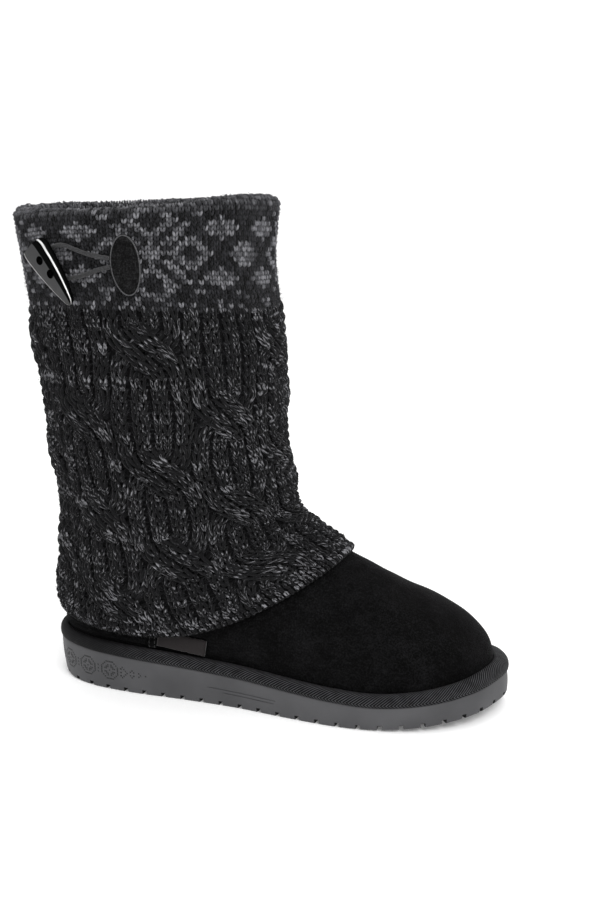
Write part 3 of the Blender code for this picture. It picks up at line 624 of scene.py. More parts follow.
SOLE_ROWS = tuple(SoleRow(*row) for row in (
    (0.000, 0.0, 0.0, 2.4, 2.0), (0.012, 13.0, 13.0, 2.6, 2.0), (0.045, 23.5, 23.5, 3.0, 1.8),
    (0.110, 32.0, 32.0, 4.0, 1.2), (0.200, 36.0, 35.5, 5.0, 0.7), (0.330, 37.5, 34.5, 5.5, 0.4),
    (0.450, 40.0, 34.5, 5.6, 0.3), (0.570, 45.5, 39.0, 5.6, 0.2), (0.670, 49.0, 45.5, 5.8, 0.0),
    (0.760, 49.0, 49.5, 6.2, 0.0), (0.840, 44.5, 50.0, 7.0, -0.2), (0.910, 35.0, 45.5, 7.8, -0.4),
    (0.960, 22.0, 36.0, 8.4, -0.6), (0.990, 5.0, 22.0, 8.7, -0.7), (1.000, -8.0, 8.0, 8.8, -0.7)))
SOLE_SIDE = ((0.00, 25.2, 1.2), (0.05, 24.4, 0.0), (0.25, 21.6, 0.0), (0.50, 17.9, 0.0),
             (0.66, 15.0, 0.0), (0.74, 14.2, 0.5), (0.86, 16.2, 3.0), (1.00, 22.0, 8.2))
SECTIONS = tuple(Section(*row) for row in (
    (0.6, 34.6, 262.4, 41.0, 31.5, 44.2, 44.2, 0.00), (0.8, 36.8, 253.5, 50.6, 35.0, 43.6, 43.6, 0.00),
    (1.0, 38.6, 240.0, 59.4, 37.5, 42.6, 42.4, 0.04), (1.2, 40.4, 208.0, 73.2, 40.0, 40.6, 40.0, 0.15),
    (1.4, 43.0, 181.0, 86.8, 42.5, 38.2, 37.4, 0.35), (0.6, 58.0, 165.0, 96.5, 56.5, 37.8, 37.2, 0.55),
    (3.6, 78.0, 152.5, 103.5, 76.0, 40.0, 39.6, 0.75), (5.8, 97.0, 145.2, 113.0, 97.0, 43.4, 43.0, 0.90),
    (5.2, 122.0, 142.3, 128.5, 121.0, 47.2, 47.0, 1.00), (1.8, 150.0, 137.6, 152.0, 149.0, 50.6, 50.6, 1.00),
    (-2.4, 186.0, 137.0, 188.0, 186.0, 52.4, 52.4, 1.00), (-7.2, 224.0, 134.8, 226.0, 225.0, 54.2, 54.2, 1.00),
    (-11.6, 253.0, 131.4, 257.0, 256.0, 55.2, 55.2, 1.00), (-15.4, 281.0, 133.4, 288.4, 281.8, 57.2, 57.2, 1.00)))


@dataclass(frozen=True)
class SoleForm:
    """Plan and heights of the unit sole."""

    length: float = 275.0
    edge_round: float = 1.4

    def column(self, name: str, angles: np.ndarray) -> np.ndarray:
        """Read a column of the table round the outline, lateral widths negative."""
        knots, values = [], []
        for row in SOLE_ROWS:
            angle = math.acos(2 * row.x - 1)
            pair = (row.medial, -row.lateral) if name == "width" else (getattr(row, name),) * 2
            sides = ((angle, pair[0]), (-angle, pair[1]))
            for side in sides if 0 < row.x < 1 else sides[:1]:
                knots.append(side[0])
                values.append(side[1])
        order = np.argsort(knots)
        return smooth(np.array(knots)[order], np.array(values)[order], angles, period=2 * math.pi)

    def outline(self, angles: np.ndarray, inset: float | np.ndarray = 0.0) -> np.ndarray:
        """Give the plan at the lower edge, moved inward."""
        fine = 1e-3

        def plan(a: np.ndarray) -> np.ndarray:
            """Give the plan itself."""
            return np.column_stack([self.length * (1 + np.cos(a)) / 2, self.column("width", a)])

        along = unit(plan(angles + fine) - plan(angles - fine))
        inward = np.column_stack([-along[:, 1], along[:, 0]])
        return plan(angles) + inward * np.broadcast_to(inset, (len(angles),))[:, None]

    def height(self, top: bool, x: np.ndarray) -> np.ndarray:
        """Give the height of the sole's top or bottom, never under the floor."""
        knots = [row[0] for row in SOLE_SIDE]
        values = [row[1 if top else 2] for row in SOLE_SIDE]
        return np.maximum(0.0, smooth(knots, values, np.clip(np.asarray(x) / self.length, 0, 1)))

    def rings(self, angles: np.ndarray) -> list[np.ndarray]:
        """Give the rings of the sole: rounded lower edge, leaning side, edge of the seat."""
        flare = self.column("flare", angles)
        low = self.outline(angles, self.edge_round)
        floor = self.height(False, self.outline(angles)[:, 0])
        top = self.height(True, self.outline(angles, -flare)[:, 0])

        def ring(inset: float | np.ndarray, z: np.ndarray) -> np.ndarray:
            """Put the plan at a height."""
            return np.column_stack([self.outline(angles, inset), z])

        rows = [np.column_stack([low, self.height(False, low[:, 0])]),
                ring(0.62 * self.edge_round, floor + 0.12 * self.edge_round),
                ring(0.3 * self.edge_round, floor + 0.4 * self.edge_round),
                ring(0.08 * self.edge_round, floor + 0.9 * self.edge_round),
                ring(-0.1 * flare, floor + 1.6 * self.edge_round)]
        start = floor + 1.6 * self.edge_round
        for share in np.linspace(0.12, 0.94, 8):
            lean = -0.1 * flare - (0.9 * flare) * share - 0.4 * np.sin(math.pi * share)
            rows.append(ring(lean, start + (top - 0.7 - start) * share))
        rows += [ring(-flare, top - 0.5), ring(0.2 - flare, top - 0.12), ring(0.9 - flare, top)]
        return rows

    def side(self, angle: np.ndarray, height: np.ndarray, inset: float = 0.0) -> np.ndarray:
        """Give points of the sole's side at angles and heights, moved inward by inset."""
        rings = np.array(self.rings(angle))
        points = np.empty((len(angle), 3))
        for i in range(len(angle)):
            points[i] = [np.interp(height[i], rings[:, i, 2], rings[:, i, k]) for k in range(3)]
        shift = self.outline(angle, inset) - self.outline(angle)
        return points + np.column_stack([shift, np.zeros(len(angle))])


@dataclass(frozen=True)
class BootForm:
    """True shape of the boot over its last, from the feather edge to the collar."""

    sole: SoleForm = SoleForm()
    seat: float = 0.3
    welt_height: float = 6.6
    crowding: float = 0.15
    wall: float = 2.6

    def section(self, row: Section, angles: np.ndarray) -> np.ndarray:
        """Give the ring of one section."""
        foot = self.sole.column("width", angles)
        foot = np.where(foot > 0, foot / max(r.medial for r in SOLE_ROWS),
                        foot / max(r.lateral for r in SOLE_ROWS))
        across = foot * (1 - row.oval) + np.sin(angles) * row.oval
        y = across * np.where(across > 0, row.medial, row.lateral)
        x = row.back_x + (row.front_x - row.back_x) * (1 + np.cos(angles)) / 2
        cosine = np.cos(angles)
        middle = (row.front_z + row.back_z) / 2
        z = row.side_z + (middle - row.side_z) * cosine**2 + (row.front_z - row.back_z) / 2 * cosine
        return np.column_stack([x, y, z])

    def key_rings(self, angles: np.ndarray) -> np.ndarray:
        """Give all rings from the feather edge to the collar."""
        plan = self.sole.outline(angles, self.sole.column("ledge", angles))
        top = self.sole.height(True, plan[:, 0]) + self.seat
        rings = [np.column_stack([plan, top]), np.column_stack([plan, top + self.welt_height + 0.4])]
        return np.array(rings + [self.section(row, angles) for row in SECTIONS])

    def places(self) -> np.ndarray:
        """Give the distance of each key ring up the boot."""
        steps = np.linalg.norm(np.diff(self.key_rings(turns(8)), axis=0), axis=2).mean(axis=1)
        return np.concatenate([[0.0], np.cumsum(steps)])

    def surface(self, angles: np.ndarray, places: np.ndarray) -> tuple[np.ndarray, np.ndarray]:
        """Give points and outward unit normals, as arrays of places by angles."""
        knots = self.places()
        fine = 1e-3
        rings = self.key_rings(angles)
        base = smooth(knots, rings, places)
        round_way = (smooth(knots, self.key_rings(angles + fine), places)
                     - smooth(knots, self.key_rings(angles - fine), places))
        inside = np.clip(places, fine, knots[-1] - fine)
        up_way = smooth(knots, rings, inside + fine) - smooth(knots, rings, inside - fine)
        return base, unit(np.cross(round_way, up_way))


BOOT = BootForm()
PLACES = BOOT.places()
HEM = float(PLACES[6])
COLLAR = float(PLACES[-1])


@dataclass
class KnitForm:
    """Middle face of the knit, looked up by angle and by distance up the cloth.

    The distance runs up the outside to the collar, over the rim, and down the inside.
    """

    air: float = 0.75           # between suede and knit
    wall: float = 3.2
    fold_wall: float = 2.4
    fold_depth: float = 26.0
    yarn: float = 1.0           # how deep the middle face lies under the yarn's crown
    stand_off: float = 3.0      # more air where the hem spans the hollow of the foot
    hem_lift: tuple[float, float, float] = (-150.0, 48.0, 1.9)     # place round, reach, height
    # Swells and dips of the soft rim: angle, reach in radians, rise
    rim_swells: tuple[tuple[float, float, float], ...] = (
        (0.33, 0.35, -2.4), (-0.50, 0.40, 0.8), (1.0, 0.5, 1.0), (math.pi, 0.6, -1.6), (-2.3, 0.4, -0.5))
    angles: int = 540
    step: float = 0.6

    def __post_init__(self) -> None:
        """Fill the grid of points and normals."""
        out_lift = self.air + self.wall - self.yarn
        in_lift = -(BOOT.wall + self.air + self.fold_wall - self.yarn)
        middle, radius = (out_lift + in_lift) / 2, (out_lift - in_lift) / 2
        self.rim_end = COLLAR + math.pi * radius
        self.end = self.rim_end + self.fold_depth
        self.places = np.arange(HEM - 1.2, self.end, self.step)
        angles = turns(self.angles)
        inner = self.places > self.rim_end
        rim = (self.places > COLLAR) & ~inner
        at = np.where(inner, COLLAR - (self.places - self.rim_end), np.minimum(self.places, COLLAR))
        base, normal = BOOT.surface(angles, np.clip(at, HEM, COLLAR))
        phi = np.clip((self.places - COLLAR) / radius, 0, math.pi)[:, None, None]
        low = np.clip((PLACES[9] - at) / (PLACES[9] - HEM), 0, 1) ** 1.5
        gap = np.where(inner[:, None], 0.0, np.outer(low, np.sin(angles) ** 2)) * self.stand_off
        up = np.array([0.0, 0.0, 1.0])
        lift = np.where(rim[:, None, None] | inner[:, None, None], middle + radius * np.cos(phi),
                        out_lift + gap[:, :, None])
        rise = np.where(rim[:, None, None], radius * np.sin(phi), 0.0)
        below = np.minimum(self.places - HEM, 0.0)[:, None, None]
        puff = 0.9 * np.exp(-(((self.places - COLLAR - 0.5 * math.pi * radius) / 6.5) ** 2))[:, None, None]
        lift = lift + puff * np.cos(phi)
        rise = rise + puff * np.sin(phi)
        self.points = base + normal * lift + up * rise + up * below
        self.points[:, :, 2] += self.wave(angles) * self.near_rim(at)[:, None]
        away = (angles - math.radians(self.hem_lift[0]) + math.pi) % (2 * math.pi) - math.pi
        heel = self.hem_lift[2] * np.exp(-((away / math.radians(self.hem_lift[1])) ** 2))
        self.points[:, :, 2] += heel * (1 - ramp(at, HEM, HEM + 45))[:, None]
        self.normals = unit(normal * np.cos(phi) + up * np.sin(phi))

    def wave(self, angles: np.ndarray) -> np.ndarray:
        """Give how far the soft rim stands over its even line."""
        even = 0.6 - 0.7 * np.sin(angles) + 0.25 * np.sin(5 * angles - 0.6) + 0.2 * np.sin(8 * angles)
        for centre, reach, rise in self.rim_swells:
            away = (angles - centre + math.pi) % (2 * math.pi) - math.pi
            even = even + rise * np.exp(-((away / reach) ** 2))
        return even

    def near_rim(self, at: np.ndarray) -> np.ndarray:
        """Give the share of the rim's wave that reaches a place."""
        return ramp(at, COLLAR - 40, COLLAR - 2)

    def at(self, angle: np.ndarray, place: np.ndarray, lift: np.ndarray) -> np.ndarray:
        """Give points over the knit's middle face.

        Args:
            angle: Angle round the boot in radians.
            place: Distance up the cloth.
            lift: Distance out from the middle face.

        Returns:
            Points in millimetres, with the shape of the arguments.
        """
        angle, place, lift = np.broadcast_arrays(angle, place, lift)
        a = (angle / (2 * math.pi)) % 1.0 * self.angles
        p = np.clip((place - self.places[0]) / self.step, 0, len(self.places) - 1.001)
        i, j = a.astype(int) % self.angles, p.astype(int)
        u, v = (a - np.floor(a))[..., None], (p - j)[..., None]
        k = (i + 1) % self.angles
        result = 0.0
        for grid, scale in ((self.points, 1.0), (self.normals, lift[..., None])):
            value = ((grid[j, i] * (1 - u) + grid[j, k] * u) * (1 - v)
                     + (grid[j + 1, i] * (1 - u) + grid[j + 1, k] * u) * v)
            result = result + value * scale
        return result


KNIT = KnitForm()


def side_angle(turn: float | np.ndarray) -> float | np.ndarray:
    """Turn degrees from the lateral side towards the toe into an angle round the boot."""
    return np.radians(np.asarray(turn, float) - 90.0)


# Knit sleeve

@dataclass
class Strands:
    """Batch of short yarn lengths, each a half-round tube along its own middle line."""

    stations: int
    sides: int = 5
    end_shade: float = 0.85     # how dark the tucked ends are
    points: list = field(default_factory=list)
    uvs: list = field(default_factory=list)
    shades: list = field(default_factory=list)

    def add(self, x: np.ndarray, q: np.ndarray, lift: np.ndarray, half: np.ndarray, tall: np.ndarray,
            shade: np.ndarray, place: Callable) -> None:
        """Add strands.

        Args:
            x: Millimetres round the boot at each station, strands by stations.
            q: Millimetres up the cloth.
            lift: Millimetres out of the middle face.
            half: Half width at each station.
            tall: Height of the half-round over its base.
            shade: Tone, motif and painted-shade share of each strand.
            place: Turns x, q and lift into points.
        """
        dx, dq = np.gradient(x, axis=1), np.gradient(q, axis=1)
        length = np.maximum(np.hypot(dx, dq), 1e-9)
        across = np.linspace(-1, 1, self.sides)
        side_x, side_q = (dq / length)[..., None], (-dx / length)[..., None]
        xs = x[..., None] + side_x * half[..., None] * across
        qs = q[..., None] + side_q * half[..., None] * across
        crown = np.sqrt(np.maximum(0.0, 1 - across**2))
        lifts = lift[..., None] + tall[..., None] * crown
        self.points.append(place(xs, qs, lifts).reshape(-1, 3))
        run = np.concatenate([np.zeros((len(x), 1)), np.cumsum(length[:, 1:], axis=1)], axis=1)
        start = np.random.default_rng(7).uniform(0, 40, (len(x), 1))
        uv = np.stack(np.broadcast_arrays((run + start)[..., None], across[None, None, :]), axis=-1)
        self.uvs.append(uv.reshape(-1, 2))
        tones = np.repeat(shade[:, None, :], self.stations, axis=1)
        # The ends of a strand dive under its neighbours, so they lie in shade
        ends = 1 - np.clip((tall - tall.min()) / max(float(np.ptp(tall)), 1e-6) * 1.9, 0, 1)
        tones[:, :, 2] = np.clip(tones[:, :, 2] + self.end_shade * ends, 0, 1)
        self.shades.append(np.repeat(tones.reshape(-1, 3), self.sides, axis=0))

    def build(self, name: str, material: bpy.types.Material) -> bpy.types.Object:
        """Join all strands into one piece that stands for the CAD sleeve."""
        points = world(np.concatenate(self.points))
        count = len(points) // (self.stations * self.sides)
        quads = grid_quads(count, self.stations, self.sides)[:, ::-1]
        mesh = quad_mesh(name, points, quads, np.concatenate(self.uvs), np.concatenate(self.shades))
        piece = add_object(name, mesh, [material], "charcoal_knit")
        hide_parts("knit_sleeve")
        log.info("%s: %d strands, %d triangles", name, count, 2 * len(quads))
        return piece


def leg_pair(centre: np.ndarray, q: np.ndarray, width: np.ndarray, height: np.ndarray, side: int,
             stations: int) -> tuple[np.ndarray, np.ndarray, np.ndarray]:
    """Give the middle lines of one leg of each stitch.

    Args:
        centre: Millimetres round the boot of each stitch's middle.
        q: Distance up the cloth of each stitch's foot.
        width: Width of the stitch.
        height: Height of the stitch.
        side: -1 for the left leg and 1 for the right one.
        stations: Points along the leg.

    Returns:
        x, q and an arch from 0 over 1 to 0 for each station.
    """
    t = np.linspace(0, 1, stations)[None, :]
    bow = t + 0.08 * np.sin(2 * math.pi * t)
    x = centre[:, None] + side * width[:, None] * (0.03 + 0.43 * bow)
    up = q[:, None] + height[:, None] * (-0.10 + 1.22 * t)
    return x, up, np.sin(math.pi * np.clip(t * 0.92 + 0.05, 0, 1)) * np.ones_like(x)


@dataclass
class CableSection:
    """Cable knit below the band: wales in pairs, and in each cable two pairs cross two others."""

    pairs: int = 40
    top: float = 247.3          # where the band starts, at front and back
    rib: float = 6.5            # height of the ribbed hem
    rows: int = 34
    centre_turn: float = 11.0   # a cable's middle, in degrees from the lateral side
    cross_height: float = 29.0
    widening: float = 0.13      # how much a cable spreads where its neighbours cross
    even: tuple[float, ...] = (225.0, 159.5, 108.2)
    odd: tuple[float, ...] = (189.2, 134.0, 86.0)
    stitch_width: float = 4.3
    stitch_offset: float = 2.05  # from the middle of a pair to the middle of a stitch
    wall_more: float = 0.6      # how much thicker this section is than the band
    stations: int = 6
    raise_over: float = 1.9
    sink_under: float = 1.2

    @property
    def pair_width(self) -> float:
        """Give the width of a pair of wales round the boot."""
        return 2 * math.pi * RADIUS / self.pairs

    def row_places(self) -> np.ndarray:
        """Give the foot of each row and the end of the last, taller ones higher up."""
        share = np.linspace(0, 1, self.rows + 1)
        return HEM + self.rib - 1.5 + (self.top - HEM - self.rib + 1.5) * (0.80 * share + 0.20 * share**2)

    def swap(self, odd: np.ndarray, q: np.ndarray) -> tuple[np.ndarray, np.ndarray, np.ndarray]:
        """Give how far a cable's pairs have changed places, the change a millimetre, and its bulge."""
        total, slope, bulge = np.zeros_like(q), np.zeros_like(q), np.zeros_like(q)
        for lag, centres in ((0, self.even), (1, self.odd)):
            here = odd == lag
            for number, centre in enumerate(sorted(centres)):
                s = np.clip((q - centre) / self.cross_height + 0.5, 0, 1)
                sign = 1.0 if number % 2 == 0 else -1.0
                total += here * sign * (s * s * (3 - 2 * s))
                slope += here * sign * 6 * s * (1 - s) / self.cross_height
                bulge += here * np.clip(4 * s * (1 - s), 0, 1) ** 0.8
        return total, slope, bulge

    def place(self, cable: np.ndarray, strand: np.ndarray, offset: np.ndarray) -> Callable:
        """Give the function that lays local stitch coordinates on the boot.

        Args:
            cable: Number of the four-pair repeat of each stitch.
            strand: Pair in it, from the heel side: 0 and 1 cross 2 and 3.
            offset: Millimetres from the pair's middle to the stitch's middle.

        Returns:
            Function of x from the stitch's middle, q and lift that gives points.
        """
        cable, strand, offset = (v[:, None, None] for v in (cable, strand, offset))

        def lay(u: np.ndarray, q: np.ndarray, lift: np.ndarray) -> np.ndarray:
            """Lay stitch points on the boot."""
            odd = (cable % 2) * np.ones_like(q)
            total, slope, bulge = self.swap(odd, q)
            beside = self.swap(1 - odd, q)[2]
            way = np.where(strand < 2, 1.0, -1.0)
            lean = 2 * way * slope * self.pair_width
            angle = np.arctan(lean)
            local = (u + offset) * (1 + 0.10 * bulge)
            across = (strand % 2 - 0.5) * self.pair_width + local
            middle = np.where(strand < 2, -1.0, 1.0) + 2 * way * total
            # A slanted bundle keeps its width over its own way, so it spreads sideways
            x = middle * self.pair_width + across * np.cos(angle) ** 0.3
            x = x * (1 + self.widening * beside + 0.06 * bulge)
            up = q - 0.8 * across * np.sin(angle)
            over = np.where(way * slope < 0, self.raise_over, -self.sink_under) * bulge
            round_pair = (1.7 - 0.9 * bulge) * (1 - (local / (0.5 * self.pair_width)) ** 2)
            # The crossing bundle is round too, highest along its middle
            bundle = 1.1 * bulge * (1 - (across / self.pair_width) ** 2)
            turn = self.centre_turn + 36.0 * cable + np.degrees(x / RADIUS)
            theta = side_angle(turn)
            up = up + 5.0 * np.sin(theta) ** 2 * ramp(up, 180, 247)
            depth = self.wall_more * ramp(self.top - q, 0, 9) + over + round_pair + bundle - 0.95
            return KNIT.at(theta, up, lift + depth)

        return lay

    def build(self, material: bpy.types.Material) -> list[bpy.types.Object]:
        """Make the stitches in two pieces, lateral and medial."""
        rng = np.random.default_rng(3)
        feet = self.row_places()
        pieces = []
        for name, cables in (("knit_cable_lateral", (-2, -1, 0, 1, 2)), ("knit_cable_medial", (3, 4, 5, 6, 7))):
            strands = Strands(self.stations, end_shade=0.5)
            for side in (-1, 1):
                grid = np.array([(c, s, w, r) for c in cables for s in range(4) for w in (-1, 1)
                                 for r in range(self.rows)])
                cable, strand, wale, row = grid.T
                height = (feet[row + 1] - feet[row])
                count = len(grid)
                tone = self.tones(cable, strand, row, np.random.default_rng(17), rng)
                x, q, arch = leg_pair(np.zeros(count), feet[row] + rng.normal(0, 0.12, count),
                                      np.full(count, self.stitch_width), height, side, self.stations)
                x += rng.normal(0, 0.12, (count, 1))
                t = np.linspace(0, 1, self.stations)[None, :]
                half = (0.44 + 0.42 * np.sin(math.pi * (0.12 + 0.72 * t))) * rng.uniform(0.88, 1.1, (count, 1))
                lift = -0.75 + 0.95 * arch + rng.normal(0, 0.08, (count, 1))
                tall = 0.45 + 0.85 * arch
                shade = np.column_stack([tone, np.zeros(count), np.zeros(count)])
                strands.add(x, q, lift, half, tall, shade, self.place(cable, strand, wale * self.stitch_offset))
            pieces.append(strands.build(name, material))
        return pieces

    def tones(self, cable: np.ndarray, strand: np.ndarray, row: np.ndarray, pair: np.random.Generator,
              own: np.random.Generator) -> np.ndarray:
        """Give each leg's tone: slow drift along a row's yarn, a chance shared by its stitch, and its own."""
        x = (cable * 4 + strand) * 0.9
        drift = 0.5 + 0.28 * np.sin(x * 0.31 + row * 2.4) + 0.22 * np.sin(row * 1.7 + 0.5)
        chance = 0.3 * drift + 0.4 * pair.uniform(0, 1, len(row)) + 0.3 * own.uniform(0, 1, len(row))
        return np.clip(chance, 0, 1)

    def build_purl(self, material: bpy.types.Material) -> bpy.types.Object:
        """Make the purl bars that show deep between the pairs."""
        rng = np.random.default_rng(5)
        feet = self.row_places()
        strands = Strands(3)
        grid = np.array([(c, s, r, h) for c in range(-2, 8) for s in range(4) for r in range(self.rows)
                         for h in (0.0, 0.5)])
        cable, strand, row, part = grid.T
        cable, strand, row = cable.astype(int), strand.astype(int), row.astype(int)
        count = len(grid)
        q = feet[row] + (feet[row + 1] - feet[row]) * part
        t = np.linspace(-1, 1, 3)[None, :]
        x = 1.5 * t * np.ones((count, 1))
        up = q[:, None] + 0.35 * (1 - t**2) * np.where(part > 0, -1, 1)[:, None]
        # The purl bars lie deep, so they carry a painted-shade share of 0.75
        shade = np.column_stack([rng.uniform(0, 0.9, count), np.zeros(count), np.full(count, 0.75)])
        strands.add(x, up, np.full(x.shape, -1.15) - 0.3 * t**2, np.full(x.shape, 0.8), np.full(x.shape, 0.8),
                    shade, self.place(cable, strand, np.full(count, self.pair_width / 2)))
        return strands.build("knit_purl_bars", material)


@dataclass
class HemRib:
    """Fine ribs of the cast-on edge."""

    count: int = 151
    height: float = 7.6

    def build(self, material: bpy.types.Material) -> bpy.types.Object:
        """Make two short yarn legs for each rib and a rolled edge under them."""
        rng = np.random.default_rng(11)
        pitch = 2 * math.pi * RADIUS / self.count
        strands = Strands(5)
        t = np.linspace(0, 1, 5)[None, :]

        def lay(x: np.ndarray, q: np.ndarray, lift: np.ndarray) -> np.ndarray:
            """Lay rib points on the boot."""
            return KNIT.at(x / RADIUS, q, lift)

        for level, rise in ((0, 0.0), (1, 2.6), (2, 5.0)):
            number = np.arange(self.count)
            x = (number * pitch)[:, None] + 0.32 * pitch * (t - 0.5) * (-1) ** level + rng.normal(0, .15, (151, 1))
            q = HEM - 0.6 + rise + 3.4 * t + rng.normal(0, 0.2, (self.count, 1))
            arch = np.sin(math.pi * (0.08 + 0.84 * t)) * np.ones_like(x)
            shade = np.column_stack([rng.uniform(0.1, 1, self.count), np.zeros(self.count), np.zeros(self.count)])
            strands.add(x, q * np.ones_like(x), -0.6 + 1.0 * arch, 0.45 + 0.6 * arch, 0.4 + 0.7 * arch, shade, lay)
        # Edge loops turn under
        number = np.arange(self.count)
        x = (number * pitch)[:, None] + pitch * 0.62 * (t - 0.5)
        q = HEM - 0.9 + 0.7 * np.sin(math.pi * t) * np.ones_like(x)
        shade = np.column_stack([rng.uniform(0.1, 1, self.count), np.zeros(self.count), np.zeros(self.count)])
        strands.add(x, q, np.full(x.shape, -0.3), np.full(x.shape, 0.75), np.full(x.shape, 0.9), shade, lay)
        return strands.build("knit_hem_rib", material)


@dataclass
class PatternBand:
    """Two-colour band with eight-pointed stars and diamonds, turned over the collar."""

    columns: int = 136
    repeat: int = 34
    star_turn: float = 19.5
    star_place: float = 276.0
    row_height: float = 2.5
    first_row: int = -12
    # Rows where both yarns mix as in the cable section, and from row 9 the rim's grey mix, partly painted light: row,
    # share of light stitches
    mixed_rows: tuple[tuple[float, float], ...] = ((-12, 0.55), (-11, 0.5), (-10, 0.25), (-9, 0.04), (9, 0.03),
                                                   (11, 0.22), (13, 0.45), (26, 0.45))
    chart: tuple[tuple[int, tuple[int, ...]], ...] = (
        (10, (0,)), (9, (0, 1, 2)), (8, (2, 3, 7, 8)), (7, (3, 4, 12)),
        (6, (2, 3, 5, 6, 10, 11, 12, 13, 14)), (5, (1, 2, 4, 5, 9, 10, 11, 12, 13, 14, 15)),
        (4, (0, 1, 4, 5, 10, 11, 12, 13, 14)), (3, (0, 3, 4, 6, 7, 12)),
        (2, (0, 2, 3, 5, 6, 7, 8, 16, 17)), (1, (0, 1, 4, 5, 8, 9, 15, 16, 17)),
        (0, (0, 1, 2, 3, 4, 9, 10, 14, 15, 16, 17)))

    def lit(self, column: np.ndarray, row: np.ndarray) -> np.ndarray:
        """Tell which stitches are worked in the light yarn."""
        cells = {(row_number, c) for row_number, columns in self.chart for c in columns}
        near = (column + self.repeat // 2) % self.repeat - self.repeat // 2
        flags = [(abs(int(r)), abs(int(c))) in cells for c, r in zip(near, row)]
        return np.array(flags)

    def build(self, material: bpy.types.Material) -> list[bpy.types.Object]:
        """Make the outer stitches and those that turn over the rim into the boot."""
        last = int((KNIT.end - self.star_place - 5.0) / self.row_height) - 1
        split = int((COLLAR - self.star_place) / self.row_height)
        outer = self.build_rows("knit_band", range(self.first_row, split), material)
        fold = self.build_rows("knit_band_fold", range(split, last), material)
        return [outer, fold]

    def build_rows(self, name: str, rows: range, material: bpy.types.Material) -> bpy.types.Object:
        """Make the stitches of some rows."""
        rng = np.random.default_rng(len(name))
        grid = np.array([(c, r) for r in rows for c in range(self.columns)])
        column, row = grid.T
        width = 2 * math.pi * RADIUS / self.columns
        mixed = np.interp(row, *zip(*self.mixed_rows)) * (0.6 + 0.4 * np.sin(column * 0.7 + 1.9 * row))
        lit = (self.lit(column, row) | (rng.uniform(0, 1, len(row)) < mixed)).astype(float)
        # Over the rim the stitches turn to a grey mix of both yarns, partly painted light on the rim's fuzzy fold
        rim_grey = ramp(row, 8.1, 10.0)
        lit = lit * (1 - 0.75 * rim_grey) + 0.68 * rim_grey * rng.uniform(0.35, 1, len(row))
        x0 = math.radians(self.star_turn - 90) * RADIUS + column * width
        count = len(grid)
        stations = 4
        strands = Strands(stations)

        def lay(x: np.ndarray, q: np.ndarray, lift: np.ndarray) -> np.ndarray:
            """Lay band points on the boot."""
            theta = x / RADIUS
            return KNIT.at(theta, q + 5.0 * np.sin(theta) ** 2, lift)

        for side in (-1, 1):
            foot = self.star_place + (row - 0.5) * self.row_height + rng.normal(0, 0.07, count)
            x, q, arch = leg_pair(x0, foot, np.full(count, width), np.full(count, self.row_height * 1.12), side,
                                  stations)
            x = x + rng.normal(0, 0.06, (count, 1))
            half = 0.25 + 0.41 * arch
            tone = np.clip(rng.normal(0.47, 0.28, count), 0, 1)
            shade = np.column_stack([tone, lit, np.zeros(count)])
            loose = (0.12 + 0.26 * ramp(row, 8, 12))[:, None]
            stand = -0.45 + 0.75 * arch + 0.12 * lit[:, None] + loose * rng.normal(0, 1, (count, 1))
            strands.add(x, q, stand, half, 0.35 + 0.5 * arch, shade, lay)
        return strands.build(name, material)


@dataclass
class StrayFibres:
    """Short fibres that stand off the yarn and soften its outline."""

    count: int = 17000
    stations: int = 4
    half: float = 0.045
    length: tuple[float, float] = (2.5, 6.5)
    rise: tuple[float, float] = (0.2, 1.5)

    def build(self, material: bpy.types.Material) -> bpy.types.Object:
        """Make all fibres as thin bent ribbons in one piece."""
        rng = np.random.default_rng(29)
        t = np.linspace(0, 1, self.stations)[None, :]
        x = rng.uniform(-math.pi, math.pi, (self.count, 1)) * RADIUS
        q = rng.uniform(HEM, KNIT.rim_end - 1.0, (self.count, 1))
        length = rng.uniform(*self.length, (self.count, 1))
        way = rng.uniform(0, 2 * math.pi, (self.count, 1)) + rng.normal(0, 1.2, (self.count, 1)) * (t - 0.5)
        x = x + np.cumsum(np.cos(way), axis=1) * length / self.stations
        q = np.clip(q + np.cumsum(np.sin(way), axis=1) * length / self.stations, HEM, KNIT.rim_end)
        # The cable section's yarn stands out further than the band's
        ground = 0.9 + rng.uniform(0, 2.0, (self.count, 1)) * ramp(270 - q, 0, 25)
        lift = ground + rng.uniform(*self.rise, (self.count, 1)) * np.sin(math.pi * 0.85 * t)
        sides = np.array([-self.half, self.half])
        points = KNIT.at((x[..., None] - np.sin(way)[..., None] * sides) / RADIUS,
                         q[..., None] + np.cos(way)[..., None] * sides, lift[..., None] + 0 * sides)
        quads = grid_quads(self.count, self.stations, 2)
        piece = add_object("knit_stray_fibres", quad_mesh("knit_stray_fibres", world(points.reshape(-1, 3)), quads),
                           [material], "charcoal_knit")
        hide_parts("knit_sleeve")
        return piece


